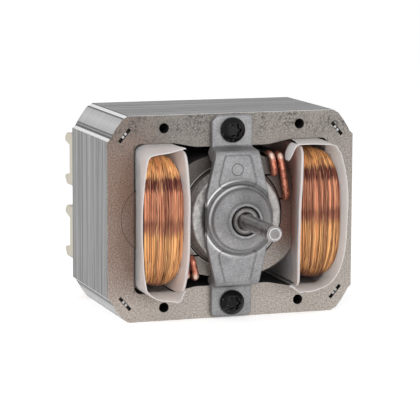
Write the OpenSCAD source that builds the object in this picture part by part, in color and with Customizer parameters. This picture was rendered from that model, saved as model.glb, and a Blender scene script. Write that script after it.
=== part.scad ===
// Shaded-pole fan motor of a cooker hood.
// Front is -Y, where the output shaft comes out, up is +Z, and the origin is where the shaft
// axis meets the front face of the lamination stack.

/* [Poles] */
// Diameter of the rotor bore between the pole shoes
bore_d = 34.4; // [32:0.1:38]
// Wall of a pole shoe above and below the rotor
shoe_t = 2.6; // [2.4:0.1:3]
// Wall of a pole shoe between the rotor and the coil
shoe_side_t = 3.4; // [3.2:0.1:4]
// Distance from the shaft to the centre of the round back of a shoe
shoe_offset = 4.8; // [4.4:0.1:5.2]
// Height of the neck of a pole, under its coil
neck_h = 18.2; // [16:0.1:19]
// How far the round root of a pole reaches into the side limb
root_depth = 4.4; // [3:0.1:5]
// Wall of the bridge that joins the two shoes above and below the rotor
bridge_t = 1; // [0.8:0.1:1.4]
// Width of the notch that leaves that bridge
bridge_w = 5; // [3:0.5:7]

/* [Lamination stack] */
// Length of the stack along the shaft
stack_l = 42; // [30:1:60]
// Width of the room for a coil between its pole shoe and the side limb
coil_room = 12.4; // [11.5:0.1:18]
// Width of the two side limbs
limb_w = 9; // [8.4:0.1:12]
// Height of the limbs above and below the window
limb_h = 9.2; // [8.8:0.1:12]
// Gap between a pole shoe and the limb above it
shoe_gap = 3; // [2.6:0.1:4]
// How much higher the window is at the coils than above the rotor
window_rise = 1.5; // [1:0.1:2]
// Length of the slope between these two heights
window_slope_l = 7.5; // [6:0.5:9]
// Radius of the corners of the window
window_r = 2; // [1:0.1:2.2]
// Leg of a cut corner along the top face
corner_x = 7.1; // [6:0.1:8]
// Leg of a cut corner along the side face
corner_z = 8.2; // [7:0.1:9]
// Depth of the small notch at each end of a cut corner
corner_notch = 1; // [0.4:0.1:1.4]
// Distance between the mounting holes across the stack
hole_pitch_x = 46.3; // [44:0.1:50]
// Distance of a mounting hole from the top or bottom of the stack
hole_inset = 4.35; // [3.8:0.05:4.8]
// Diameter of a mounting hole
hole_d = 3.3; // [3:0.1:4.3]
// Distance of an interlock from the side of the stack
interlock_x = 5.7; // [5.2:0.1:6.5]
// Distance of an interlock from the top of the stack
interlock_z = 6.3; // [6:0.1:7]
// Length of an interlock slot
interlock_l = 5.5; // [4:0.1:6]
// Width of an interlock slot
interlock_w = 1.1; // [0.8:0.1:1.4]
// Depth of an interlock slot
interlock_depth = 1.5; // [0.5:0.1:3]

/* [Shading rings] */
// Diameter of the copper wire of a shading ring
ring_wire_d = 2.2; // [1.8:0.1:2.4]
// How far a ring stands out from the stack
ring_proud = 3; // [2.6:0.1:3.4]
// Centreline radius of the bends of a ring
ring_bend = 1.6; // [1.4:0.1:2]
// Distance of the hole of the short ring from the rotor bore
short_hole_in = 2.2; // [2.1:0.1:2.6]
// Angle of the hole of the short ring above the pole axis
short_hole_angle = 43; // [42:0.5:45]
// Angle of the outer leg of the short ring on the round back of the shoe
short_leg_angle = 68; // [67:0.2:70]
// Gap between that leg and the shoe
short_leg_gap = 0.3; // [0.1:0.1:0.6]
// Distance of the hole of the long ring from the rotor bore
long_hole_in = 1.85; // [1.7:0.05:2]
// Angle of the hole of the long ring above the pole axis
long_hole_angle = 16; // [15:0.2:18]
// Angle of the outer leg of the long ring on the round back of the shoe
long_leg_angle = 60.2; // [59.8:0.2:61]
// Gap between that leg and the shoe
long_leg_gap = 1.3; // [1:0.1:1.5]
// Width of the slit from a ring hole to the rotor bore
slit_w = 0.6; // [0.4:0.1:0.8]

/* [Coils] */
// How far the bobbin flanges stand out of the stack
flange_reach = 13; // [12:0.5:14]
// How much nearer the stack a flange edge is at its top than at its middle
flange_sag = 3; // [1:0.5:4]
// Distance from the inner flange to the limbs above and below it
flange_gap = 2.1; // [1.9:0.1:3]
// How much shorter the outer flange is at its top and bottom
flange_step = 1.2; // [1:0.1:2]
// Wall of a bobbin flange
flange_t = 0.9; // [0.7:0.1:1.1]
// How far the inner flange leans towards the rotor at its edge
inner_lean = 1.5; // [0.5:0.1:1.6]
// How far the outer flange leans away from the rotor at its edge
outer_lean = 1.2; // [0.4:0.1:1.6]
// Wall of the bobbin tube round the neck
tube_t = 1; // [0.8:0.1:1.4]
// Distance from the top of the inner flange down to the copper
copper_inset = 1; // [0.6:0.1:3]
// How far the winding bulges out of the stack at its middle
copper_reach = 11.8; // [9:0.1:12.2]
// How much less the winding bulges beside the flanges
copper_round = 3.6; // [1:0.1:5]
// Fullness of the winding where it turns over the neck, 2 being an ellipse
copper_fullness = 3; // [2.4:0.1:5]
// Number of turns that show across the winding
turn_count = 18; // [10:1:24]
// Depth of the grooves between these turns
turn_groove = 0.2; // [0.1:0.05:0.3]
// Thickness of the insulating film of a coil
film_t = 0.4; // [0.3:0.1:0.6]
// How far the insulating film stands out of the stack
film_reach = 12.4; // [10:0.1:13]
// How far the upper film slopes down towards its edge
film_drop = 1.4; // [0.5:0.1:1.5]

/* [Rotor] */
// Air gap between the rotor and the pole shoes
air_gap = 0.4; // [0.3:0.05:0.6]
// Number of bars in the rotor cage
bar_count = 17; // [11:1:19]
// Diameter of a bar of the rotor cage
bar_d = 2.6; // [2:0.1:3]
// Twist of the bars from one end of the rotor to the other
bar_skew = 12; // [0:1:16]
// How much smaller in radius an end ring is than the laminations
end_ring_step = 0.8; // [0.6:0.1:1.4]
// Length of an end ring along the shaft
end_ring_l = 4.8; // [4:0.1:5.2]
// Diameter of a balance nub on an end ring
nub_d = 2.6; // [2:0.1:3]
// Height of a balance nub
nub_h = 0.4; // [0.2:0.1:0.5]

/* [Shaft] */
// Diameter of the shaft
shaft_d = 5; // [4.6:0.1:5.4]
// Distance from the stack to the front tip of the shaft
shaft_reach = 40; // [34:1:50]
// Distance from the stack to the rear tip of the shaft
shaft_rear_reach = 15.5; // [14.8:0.1:20]
// Length of the chamfer on each tip of the shaft
tip_chamfer = 0.5; // [0.2:0.1:0.8]
// Distance from the front tip to the groove for the fan's clip
tip_groove_at = 2.8; // [2:0.1:4]
// Width of a groove in the shaft
groove_w = 0.6; // [0.4:0.1:0.8]
// Depth of a groove in the shaft
groove_depth = 0.25; // [0.2:0.05:0.4]

/* [Bearing brackets] */
// Thickness of the feet of a bracket
foot_t = 2.3; // [2:0.1:3]
// Width of the feet of a bracket
foot_w = 13.6; // [12:0.1:15]
// Distance from the foot's end to the edge of the stack
foot_inset = 0.5; // [0.3:0.1:1]
// Sideways offset of the feet and arms of a bracket from the shaft
arm_shift = -0.8; // [-1:0.1:1]
// Room between the rotor and the arms
rotor_room = 0.6; // [0.4:0.1:1.2]
// Wall of the arms
arm_t = 2.4; // [2:0.1:2.8]
// How much wider an arm is than its foot where it rises from it
arm_step = 1; // [0.6:0.1:1.6]
// How far a foot reaches past the inner edge of the limb
foot_over = 2.6; // [2.2:0.1:3]
// Size of the cut corner of the upper foot
foot_chamfer = 2; // [1:0.1:3]
// Width of the raised rib along each side of an arm
rib_w = 3; // [2.6:0.1:3.4]
// Depth of the recessed panel of an arm
panel_depth = 0.55; // [0.3:0.05:0.8]
// How much wider in radius the hub is than the boss behind it
hub_rim = 2.7; // [2.4:0.1:3.2]
// Height of the hub above the arms
hub_h = 5.6; // [5.4:0.1:6.2]
// Width of the gap between the front of the bush and the hub
hub_gap = 0.33; // [0.2:0.01:0.5]
// Wall of the boss behind the hub
boss_t = 1.2; // [1:0.1:1.6]
// Width of the pocket for the felt and the clip beside the bush
pocket_w = 1.7; // [1.5:0.1:1.9]
// Distance from the screws to the top and bottom of the stack
screw_inset = 5.3; // [5:0.1:5.8]

/* [Bearings] */
// Radius of the ball shape of a bush
bush_r = 5.5; // [5.4:0.05:5.6]
// Length of a bush along the shaft
bush_l = 6.4; // [6:0.1:6.6]
// Clearance between the shaft and its bush, on the radius
shaft_clearance = 0.03; // [0.01:0.01:0.1]
// Distance from the front of the hub back to the front of the bush
bush_recess = 0.3; // [0:0.05:0.5]
// Thickness of the spring clip that holds a bush
clip_t = 0.4; // [0.3:0.05:0.5]
// Height of the dish of that clip
clip_h = 3.4; // [3:0.1:3.6]
// Thickness of a thrust washer
washer_t = 0.8; // [0.5:0.1:1]
// Wall of the spacer on the shaft
spacer_t = 1.25; // [0.8:0.05:1.3]
// Free play of the rotor at each end
end_play = 0.15; // [0.1:0.05:0.3]

/* [Screws] */
// Diameter of a bracket screw
screw_d = 4; // [3.5:0.1:4.2]
// Diameter of the head of a bracket screw
head_d = 8.2; // [7.6:0.1:8.4]
// Height of the head of a bracket screw
head_h = 2.6; // [2.2:0.1:3]
// Depth of the six-lobed recess in a head
drive_depth = 1.5; // [1:0.1:1.8]
// Distance across the lobes of that recess
drive_d = 4.6; // [3.8:0.1:4.8]
// How far the end of a screw stands out of the rear foot
screw_stand_out = 1; // [0.5:0.1:2]

/* [Terminal housings] */
// Height of a terminal housing
housing_h = 17.5; // [16.5:0.5:18.5]
// Depth of a terminal housing behind the stack
housing_l = 7.5; // [6:0.5:9]
// Distance from the side of the stack to a housing
housing_inset = 1; // [0.5:0.1:1.6]
// Height of the middle of the upper housing above the shaft
upper_housing_z = 13.8; // [12:0.1:15]
// Height of the middle of the lower housing below the shaft
lower_housing_z = 11; // [10.5:0.1:13]
// How far the latch horns of a housing stand out behind it
horn_l = 5.5; // [4:0.5:7]
// Thickness of a latch horn
horn_t = 3; // [2:0.1:3.5]
// Width of a spade terminal
spade_w = 2.8; // [2.2:0.1:3.2]
// Distance between the two spade terminals of a housing
spade_pitch = 4.6; // [4.2:0.1:5.2]
// Thickness of a spade terminal
spade_t = 0.8; // [0.5:0.1:1]
// How far a spade terminal stands out behind its housing
spade_l = 5; // [4:0.5:7]

/* [Hidden] */
$fn = 96;

// Small clearances of pieces that fit together
press_gap = 0.01;
slip_gap = 0.05;
loose_gap = 0.1;
// Overlap that keeps a cut clear of the face it opens
cut = 0.5;

steel = "#9a9790";
copper = "#c9752f";
nylon = "#e9e4e6";
casting = "#9da0a2";

// Poles and yoke, from the rotor bore outwards
bore_r = bore_d / 2;
shoe_r = bore_r + shoe_t;
shoe_x = bore_r + shoe_side_t;
window_mid_h = 2 * (shoe_r + shoe_gap);
window_h = window_mid_h + 2 * window_rise;
window_w = 2 * (shoe_x + coil_room);
stack_w = window_w + 2 * limb_w;
stack_h = window_h + 2 * limb_h;
half_w = stack_w / 2;
half_h = stack_h / 2;
hole_pitch_z = stack_h - 2 * hole_inset;
root_half = neck_h / 2;
root_r = (root_depth * root_depth + root_half * root_half) / (2 * root_depth);
root_x = window_w / 2 + root_depth - root_r;
corner_bulge = 0.3;
corner_bulge_r = 30;
corner_low = [half_w - 1.1 * corner_notch, half_h - corner_z + corner_notch];
corner_high = [half_w - corner_x + 2 * corner_notch, half_h - 1.2 * corner_notch];
corner_out = [corner_z, corner_x] / norm([corner_x, corner_z]);
corner_mid = (corner_low + corner_high) / 2 + corner_bulge * corner_out;
yoke_quarter = [
    [half_w, half_h - corner_z, 0],
    [corner_low[0], corner_low[1], 0],
    [corner_mid[0], corner_mid[1], corner_bulge_r],
    [corner_high[0], corner_high[1], 0],
    [half_w - corner_x, half_h, 0]];
slope_r = 8;
slope_inset = 0.6;
slope_out = shoe_x - slope_inset;
window_quarter = [
    [window_w / 2, window_h / 2, window_r],
    [slope_out, window_h / 2, slope_r],
    [slope_out - window_slope_l, window_mid_h / 2, slope_r]];
interlock_angle = atan2(corner_z, corner_x);
tab_l = 0.4 * interlock_l;
tab_clearance = 0.15;
tab_w = interlock_w - 2 * tab_clearance;
tab_below_face = 0.35;

// Shading rings
wire_r = ring_wire_d / 2;
wire_hole_r = wire_r + slip_gap;
short_hole = (bore_r + short_hole_in) * [cos(short_hole_angle), sin(short_hole_angle)];
long_hole = (bore_r + long_hole_in) * [cos(long_hole_angle), sin(long_hole_angle)];
leg_at = shoe_r + wire_r;
shoe_centre = [shoe_offset, 0];
short_leg =
    shoe_centre + (leg_at + short_leg_gap) * [cos(short_leg_angle), sin(short_leg_angle)];
long_leg = shoe_centre + (leg_at + long_leg_gap) * [cos(long_leg_angle), sin(long_leg_angle)];

// Coils
core_gap = 0.25;
film_gap = 0.3;
tube_inner = neck_h / 2 + core_gap;
tube_outer = tube_inner + tube_t;
flange_half_h = window_h / 2 - flange_gap;
copper_half_h = flange_half_h - copper_inset;
inner_flange_x = shoe_x + loose_gap;
film_x = window_w / 2 - slip_gap;
outer_flange_x = film_x - film_t - film_gap - flange_t;
film_z = window_h / 2 - slip_gap;
film_corner_clearance = 0.2;
film_corner_r = window_r + film_corner_clearance;
film_edge_r = 4;
flange_corner_r = 3;
slice = 0.01;

// Rotor
rotor_r = bore_r - air_gap;
end_ring_r = rotor_r - end_ring_step;
ring_cover = 0.3;
bar_at = end_ring_r - ring_cover - bar_d / 2;
bar_fit = 0.02;
nub_inset = 1.4;
nub_at = end_ring_r - nub_inset - nub_d / 2;
nub_angle = 150;
shaft_r = shaft_d / 2;
seat_press = 0.04;
seat_r = shaft_r + seat_press;
seat_inset = 1;
shaft_hole_r = shaft_r + slip_gap;

// Brackets and bearings, from the bush outwards
arm_back = end_ring_l + nub_h + rotor_room;
arm_front = arm_back + arm_t;
hub_reach = arm_front + hub_h;
bush_front = hub_reach - bush_recess;
bush_mid = bush_front - bush_l / 2;
bush_back = bush_front - bush_l;
bush_face_r = sqrt(pow(bush_r, 2) - pow(bush_l / 2, 2));
bush_seat_r = bush_r + bar_fit;
hub_hole_r = bush_face_r + hub_gap;
pocket_r = bush_r + pocket_w;
boss_r = pocket_r + boss_t;
hub_r = boss_r + hub_rim;
boss_gap = 1.2;
end_ring_inner_r = boss_r + boss_gap;
boss_proud = 2.2;
boss_back = arm_back - boss_proud;
seat_shoulder = 0.9;
pocket_front = bush_mid - seat_shoulder;
clip_hold = 0.75;
clip_inner_r = bush_r - clip_hold;
clip_rim_r = pocket_r - 2 * clip_t;
clip_back = pocket_front - clip_h;
clip_front = bush_mid - sqrt(pow(bush_r, 2) - pow(clip_inner_r, 2)) - slip_gap;
felt_back = clip_front - loose_gap;
felt_inner_r = bush_r + loose_gap;
washer_gap = 0.45;
washer_r = clip_inner_r - washer_gap;
washer_front = bush_back - end_play;
washer_back = washer_front - washer_t;
spacer_r = shaft_hole_r + spacer_t;
oil_groove_gap = 1.2;
oil_groove_at = hub_reach + oil_groove_gap;

// Screws
screw_z = half_h - screw_inset;
screw_clearance = 0.2;
screw_hole_r = screw_d / 2 + screw_clearance;
thread_r = screw_d / 2 + press_gap;

// Terminal housings
housing_gap = 0.6;
housing_w = limb_w - housing_inset - outer_lean - housing_gap;
housing_x = half_w - housing_inset - housing_w / 2;
spade_root = 4;
horn_slope = 2;

function unit(v) = v / norm(v);
// Arc that rounds the corner q between its neighbours p and s
function arc(p, q, s, r, steps) =
    let (
        a = unit(p - q),
        b = unit(s - q),
        half = acos(a * b) / 2,
        c = q + unit(a + b) * r / sin(half),
        from = q + a * r / tan(half) - c,
        to = q + b * r / tan(half) - c,
        start = atan2(from[1], from[0]),
        raw = atan2(to[1], to[0]) - start,
        turn = raw > 180 ? raw - 360 : raw < -180 ? raw + 360 : raw
    )
    [for (k = [0:steps]) c + r * [cos(start + turn * k / steps), sin(start + turn * k / steps)]];
// Outline whose points carry a corner radius as their third number
function rounded(points, steps = 6) =
    let (n = len(points))
    [for (i = [0:n - 1])
        let (
            p = points[(i + n - 1) % n],
            q = points[i],
            s = points[(i + 1) % n]
        )
        each q[2] > 0
            ? arc([p[0], p[1]], [q[0], q[1]], [s[0], s[1]], q[2], steps)
            : [[q[0], q[1]]]];
function reversed(points) = [for (i = [len(points) - 1:-1:0]) points[i]];
function flipped(points, sx, sy) = [for (p = points) [sx * p[0], sy * p[1], p[2]]];
// Whole outline from its first quarter, which runs from the side up to the top
function four_way(quarter) = concat(
    quarter,
    reversed(flipped(quarter, -1, 1)),
    flipped(quarter, -1, -1),
    reversed(flipped(quarter, 1, -1)));

// Outline in X and Z, carried along Y
module along_y(from, to) {
    translate([0, to, 0]) rotate([90, 0, 0]) linear_extrude(to - from) children();
}

// Outline in Y and Z, carried along X
module along_x(from, to) {
    translate([from, 0, 0]) rotate([90, 0, 90]) linear_extrude(to - from) children();
}

// Profile of radius and distance ahead of the stack, turned round the shaft axis
module turned() {
    rotate([90, 0, 0]) rotate_extrude() children();
}

module at_rear() {
    translate([0, stack_l, 0]) mirror([0, 1, 0]) children();
}

module on_left() {
    mirror([1, 0, 0]) children();
}

// Half turn about the shaft axis
module half_turn() {
    rotate([0, 180, 0]) children();
}

module interlock_slot() {
    difference() {
        square([interlock_l, interlock_w], center = true);
        square([tab_l, tab_w], center = true);
    }
}

module interlock_tab() {
    square([tab_l, tab_w], center = true);
}

module at_interlocks() {
    for (sx = [-1, 1], sz = [-1, 1])
        translate([sx * (half_w - interlock_x), sz * (half_h - interlock_z)])
            rotate(-sx * sz * interlock_angle)
                children();
}

module yoke_stack() {
    color(steel)
        difference() {
            along_y(0, stack_l)
                difference() {
                    polygon(rounded(four_way(yoke_quarter)));
                    polygon(rounded(four_way(window_quarter)));
                    for (s = [-1, 1])
                        translate([s * root_x, 0]) circle(r = root_r + press_gap);
                    for (sx = [-1, 1], sz = [-1, 1])
                        translate([sx * hole_pitch_x / 2, sz * hole_pitch_z / 2])
                            circle(d = hole_d, $fn = 48);
                    for (s = [-1, 1])
                        translate([arm_shift, s * screw_z]) circle(r = screw_hole_r, $fn = 48);
                }
            for (y = [-cut, stack_l - interlock_depth])
                along_y(y, y + interlock_depth + cut) at_interlocks() interlock_slot();
            for (y = [-cut, stack_l - tab_below_face])
                along_y(y, y + tab_below_face + cut) at_interlocks() interlock_tab();
        }
}

// Wire hole of a shading ring, with its slit to the rotor bore
module ring_opening(hole) {
    translate(hole) circle(r = wire_hole_r, $fn = 48);
    slit_z = hole[1] - wire_r / 2;
    bore_x = sqrt(bore_r * bore_r - slit_z * slit_z);
    translate([bore_x - cut, slit_z - slit_w / 2])
        square([hole[0] - bore_x + cut, slit_w]);
}

module pole_outline() {
    difference() {
        union() {
            intersection() {
                union() for (s = [-1, 1]) translate([s * shoe_offset, 0]) circle(r = shoe_r);
                square([2 * shoe_x, 2 * shoe_r], center = true);
            }
            square([window_w, neck_h], center = true);
            for (s = [-1, 1])
                intersection() {
                    translate([s * root_x, 0]) circle(r = root_r);
                    translate([s * (window_w + root_depth) / 2, 0])
                        square([root_depth + cut, neck_h], center = true);
                }
        }
        circle(d = bore_d);
        for (turn = [0, 180])
            rotate(turn) {
                translate([-bridge_w / 2, bore_r + bridge_t]) square([bridge_w, shoe_r]);
                ring_opening(short_hole);
                ring_opening(long_hole);
            }
    }
}

module pole_stack() {
    color(steel) along_y(0, stack_l) pole_outline();
}

// Closed loop of wire from the hole a, over the outer leg b, through the stack's length
module ring_loop(a, b) {
    length = norm(b - a);
    side = ring_proud - wire_r;
    depth = stack_l + 2 * side;
    translate([a[0], 0, a[1]])
        rotate([0, -atan2(b[1] - a[1], b[0] - a[0]), 0])
            translate([length / 2, stack_l / 2, 0])
                for (sx = [-1, 1], sy = [-1, 1])
                    scale([sx, sy, 1]) {
                        translate([length / 2, -slice, 0]) rotate([-90, 0, 0])
                            cylinder(r = wire_r, h = depth / 2 - ring_bend + slice, $fn = 32);
                        translate([-slice, depth / 2, 0]) rotate([0, 90, 0])
                            cylinder(r = wire_r, h = length / 2 - ring_bend + slice, $fn = 32);
                        translate([length / 2 - ring_bend, depth / 2 - ring_bend, 0])
                            rotate_extrude(angle = 90) translate([ring_bend, 0])
                                circle(r = wire_r, $fn = 32);
                    }
}

module short_ring_right() {
    color(copper) ring_loop(short_hole, short_leg);
}

module long_ring_right() {
    color(copper) ring_loop(long_hole, long_leg);
}

module short_ring_left() {
    half_turn() short_ring_right();
}

module long_ring_left() {
    half_turn() long_ring_right();
}

// Side outline of a winding or flange that bulges out of both faces of the stack
function bulge(reach, sag, half, r, steps = 6) =
    let (
        front = [for (k = [-steps:steps])
            let (t = k / steps)
            [-(reach - sag * t * t), half * t, abs(k) == steps ? r : 0]],
        rear = [for (p = reversed(front)) [stack_l - p[0], p[1], p[2]]]
    )
    concat(front, rear);

// Outline from above of a flange that leans by the distance lean at both of its edges
module leaning_flange(x, lean) {
    r = flange_reach;
    l = stack_l;
    polygon([
        [x, 0], [x, l], [x + lean, l + r], [x + flange_t + lean, l + r],
        [x + flange_t, l], [x + flange_t, 0], [x + flange_t + lean, -r], [x + lean, -r]]);
}

// Space for the neck of a pole, open towards the side limb
module neck_space() {
    translate([0, -core_gap, -tube_inner])
        cube([half_w, stack_l + 2 * core_gap, 2 * tube_inner]);
}

// Flange of a bobbin, whose edges lean by the distance lean out of the stack
module flange(x, lean, half) {
    intersection() {
        translate([0, 0, -half]) linear_extrude(2 * half) leaning_flange(x, lean);
        along_x(0, half_w) polygon(rounded(bulge(flange_reach, flange_sag, half, flange_corner_r)));
    }
}

module bobbin() {
    color(nylon)
        difference() {
            union() {
                flange(inner_flange_x, -inner_lean, flange_half_h);
                flange(outer_flange_x, outer_lean, flange_half_h - flange_step);
                translate([inner_flange_x, -core_gap - tube_t, -tube_outer])
                    cube([
                        outer_flange_x + flange_t - inner_flange_x,
                        stack_l + 2 * (core_gap + tube_t),
                        2 * tube_outer]);
            }
            neck_space();
        }
}

module bobbin_right() {
    bobbin();
}

module bobbin_left() {
    on_left() bobbin();
}

// Outline of one turn from the side, which bulges out of both faces of the stack by reach
function turn_outline(reach, steps = 7) =
    let (
        power = 2 / copper_fullness,
        front = [for (k = [-steps:steps])
            let (a = 90 * k / steps)
            [-reach * pow(cos(a), power), sign(a) * copper_half_h * pow(abs(sin(a)), power)]],
        rear = [for (p = reversed(front)) [stack_l - p[0], p[1]]]
    )
    concat(front, rear);

// Winding of turns side by side, which bulge least beside the flanges
module coil() {
    gap = core_gap + tube_t + loose_gap;
    low = inner_flange_x + flange_t + loose_gap;
    high = outer_flange_x - loose_gap;
    pitch = (high - low) / turn_count;
    color(copper)
        difference() {
            for (i = [0:turn_count - 1]) {
                t = (2 * i + 1) / turn_count - 1;
                reach = copper_reach - copper_round * t * t;
                x = low + i * pitch;
                along_x(x, x + pitch + slice) polygon(turn_outline(reach - turn_groove));
                along_x(x + turn_groove / 2, x + pitch - turn_groove / 2)
                    polygon(turn_outline(reach));
            }
            translate([0, -gap, -tube_outer - loose_gap])
                cube([half_w, stack_l + 2 * gap, 2 * (tube_outer + loose_gap)]);
        }
}

module coil_right() {
    coil();
}

module coil_left() {
    on_left() coil();
}

// Outline in X and Z that the film follows, grown by the distance grow from its inner face
module film_outline(wall_x, top_z, bottom_z, r, grow) {
    in = grow == 0 ? -cut : 0;
    polygon(rounded([
        [inner_flange_x + in, -bottom_z - grow, 0],
        [wall_x + grow, -bottom_z - grow, r + grow],
        [wall_x + grow, top_z + grow, r + grow],
        [inner_flange_x + in, top_z + grow, 0]]));
}

// Solid block inside the film's inner face, or inside its outer face when grow is its wall
module film_block(grow) {
    extra = grow == 0 ? cut : 0;
    wall = film_x - film_t;
    z = film_z - film_t;
    r = film_corner_r - film_t;
    along_y(-slice, stack_l + slice) film_outline(wall, z, z, r, grow);
    for (rear = [0, 1])
        translate([0, rear * stack_l, 0]) mirror([0, rear, 0])
            hull() {
                along_y(-slice, 0) film_outline(wall, z, z, r, grow);
                along_y(-film_reach - extra, -film_reach - extra + slice)
                    film_outline(wall + outer_lean, z - film_drop, z, film_edge_r, grow);
            }
}

module film() {
    color(nylon)
        difference() {
            film_block(film_t);
            film_block(0);
            neck_space();
        }
}

module film_right() {
    film();
}

module film_left() {
    on_left() film();
}

// Cylinder of a rotor bar, leaning round the shaft by half of the skew at each end
module bar(angle, r, extra) {
    reach = bar_at * sin(bar_skew / 2);
    lean = atan2(2 * reach, stack_l);
    length = stack_l / cos(lean) + 2 * extra;
    rotate([0, angle, 0]) translate([bar_at * cos(bar_skew / 2), stack_l / 2, 0])
        rotate([lean, 0, 0]) rotate([90, 0, 0])
            cylinder(r = r, h = length, center = true, $fn = 24);
}

module rotor_core() {
    color(steel)
        difference() {
            along_y(0, stack_l) circle(r = rotor_r);
            along_y(-cut, stack_l + cut) circle(r = seat_r + press_gap, $fn = 48);
            for (i = [0:bar_count - 1]) bar(i * 360 / bar_count, bar_d / 2 + bar_fit, 2 * cut);
        }
}

ring_foot_h = 1;
ring_foot_step = 0.2;
ring_draft = 0.9;
ring_round_r = 0.8;
ring_lip_w = 0.6;
ring_lip_h = 1.2;
end_ring_profile = [
    [end_ring_inner_r, 0, 0],
    [end_ring_r, 0, 0],
    [end_ring_r - ring_foot_step, ring_foot_h, 0.5],
    [end_ring_r - ring_draft, end_ring_l, ring_round_r],
    [end_ring_inner_r + ring_lip_w, end_ring_l, ring_lip_w],
    [end_ring_inner_r, end_ring_l - ring_lip_h, ring_lip_w]];

module end_ring() {
    turned() polygon(rounded(end_ring_profile, 4));
    for (turn = [0, 180])
        rotate([0, -nub_angle + turn, 0])
            translate([nub_at, -end_ring_l + slice, 0]) rotate([90, 0, 0])
                cylinder(d = nub_d, h = nub_h, $fn = 24);
}

module rotor_cage() {
    color("#b4b6b4") {
        end_ring();
        at_rear() end_ring();
        for (i = [0:bar_count - 1]) bar(i * 360 / bar_count, bar_d / 2, cut);
    }
}

// Profile of the shaft from its rear tip to its front tip, as radius and distance ahead
module shaft() {
    rear = -stack_l - shaft_rear_reach;
    groove_r = shaft_r - groove_depth;
    tip_groove = shaft_reach - tip_groove_at;
    tip_r = shaft_r - slip_gap;
    color("#8b8a87")
        turned()
            polygon([
                [0, rear],
                [shaft_r - tip_chamfer, rear],
                [shaft_r, rear + tip_chamfer],
                [shaft_r, -stack_l + seat_inset],
                [seat_r, -stack_l + seat_inset],
                [seat_r, -seat_inset],
                [shaft_r, -seat_inset],
                [shaft_r, oil_groove_at],
                [groove_r, oil_groove_at],
                [groove_r, oil_groove_at + groove_w],
                [shaft_r, oil_groove_at + groove_w],
                [shaft_r, tip_groove],
                [groove_r, tip_groove],
                [groove_r, tip_groove + groove_w],
                [tip_r, tip_groove + groove_w],
                [tip_r, shaft_reach - tip_chamfer],
                [tip_r - tip_chamfer, shaft_reach],
                [0, shaft_reach]]);
}

// Front outline of the feet and arms of a bracket, whose feet have corners of radius r
arm_outer_w = foot_w + arm_step;
arm_waist = 1.2;
arm_inner_w = 2 * hub_r - arm_waist;
arm_rise_z = half_h - limb_h - foot_over;
arm_overlap = 3.1;
arm_inner_z = hub_r - arm_overlap;
arm_blend_r = 6;
shoulder_h = 1;
shoulder_r = 1.2;
foot_blend_r = 0.6;
foot_end = half_h - foot_inset;
tool_mark_d = 4;
tool_mark_drop = 5.8;
tool_mark_w = 0.25;
tool_mark_depth = 0.2;
function arm_quarter(r) = [
    [arm_inner_w / 2, arm_inner_z, arm_blend_r],
    [arm_outer_w / 2, arm_rise_z, shoulder_r],
    [foot_w / 2, arm_rise_z + shoulder_h, foot_blend_r],
    [foot_w / 2, foot_end, r]];
upper_foot_r = 0.5;
lower_foot_r = 1.8;
arm_outline = concat(
    arm_quarter(upper_foot_r),
    reversed(flipped(arm_quarter(upper_foot_r), -1, 1)),
    flipped(arm_quarter(lower_foot_r), -1, -1),
    reversed(flipped(arm_quarter(lower_foot_r), 1, -1)));

// Side outline of one arm, as distance behind the stack and height
rise_in = 1.4;
crest_h = 0.2;
crest_back = 0.6;
crest_r = 1;
brow_r = 2;
foot_edge_r = 0.5;
rise_foot_r = 0.9;
under_arm_r = 1.5;
under_foot_r = 0.8;
arm_side = [
    [0, foot_end, 0],
    [-foot_t, foot_end, foot_edge_r],
    [-foot_t, arm_rise_z + shoulder_h, rise_foot_r],
    [crest_back - arm_front, arm_rise_z + crest_h, crest_r],
    [-arm_front, arm_rise_z - rise_in, brow_r],
    [-arm_front, 0, 0],
    [-arm_back, 0, 0],
    [-arm_back, arm_rise_z - rise_in - arm_t, under_arm_r],
    [0, arm_rise_z - rise_in, under_foot_r]];

hub_edge_h = 0.7;
hub_edge_r = 0.4;
hub_step_w = 0.8;
hub_step_h = 0.3;
dome_foot_in = 1.3;
dome_foot_h = 2.3;
dome_foot_r = 1.2;
dome_top_in = 3.6;
dome_top_drop = 1.7;
dome_r = 3;
collar_w = 0.9;
collar_h = 0.9;
collar_slope = 0.6;
hub_profile = [
    [0, arm_back, 0],
    [hub_r, arm_back, 0],
    [hub_r, arm_front + hub_edge_h, hub_edge_r],
    [hub_r - hub_step_w, arm_front + hub_edge_h + hub_step_h, hub_step_h],
    [hub_r - dome_foot_in, arm_front + dome_foot_h, dome_foot_r],
    [hub_r - dome_top_in, hub_reach - dome_top_drop, dome_r],
    [hub_hole_r + collar_w + collar_slope, hub_reach - collar_h, 0.8],
    [hub_hole_r + collar_w, hub_reach, 0.3],
    [0, hub_reach, 0]];

panel_inset = 0.9;
module arm_panel() {
    top = arm_rise_z - panel_inset;
    low = hub_r - panel_inset;
    top_x = arm_outer_w / 2 - rib_w;
    low_x = arm_inner_w / 2 - 1.2 * rib_w;
    polygon(rounded([[low_x, low, 1.5], [top_x, top, 1], [-top_x, top, 1], [-low_x, low, 1.5]]));
}

// Round mark that the casting tool leaves
module tool_mark() {
    difference() {
        circle(d = tool_mark_d, $fn = 32);
        circle(d = tool_mark_d - 2 * tool_mark_w, $fn = 32);
    }
}

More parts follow.
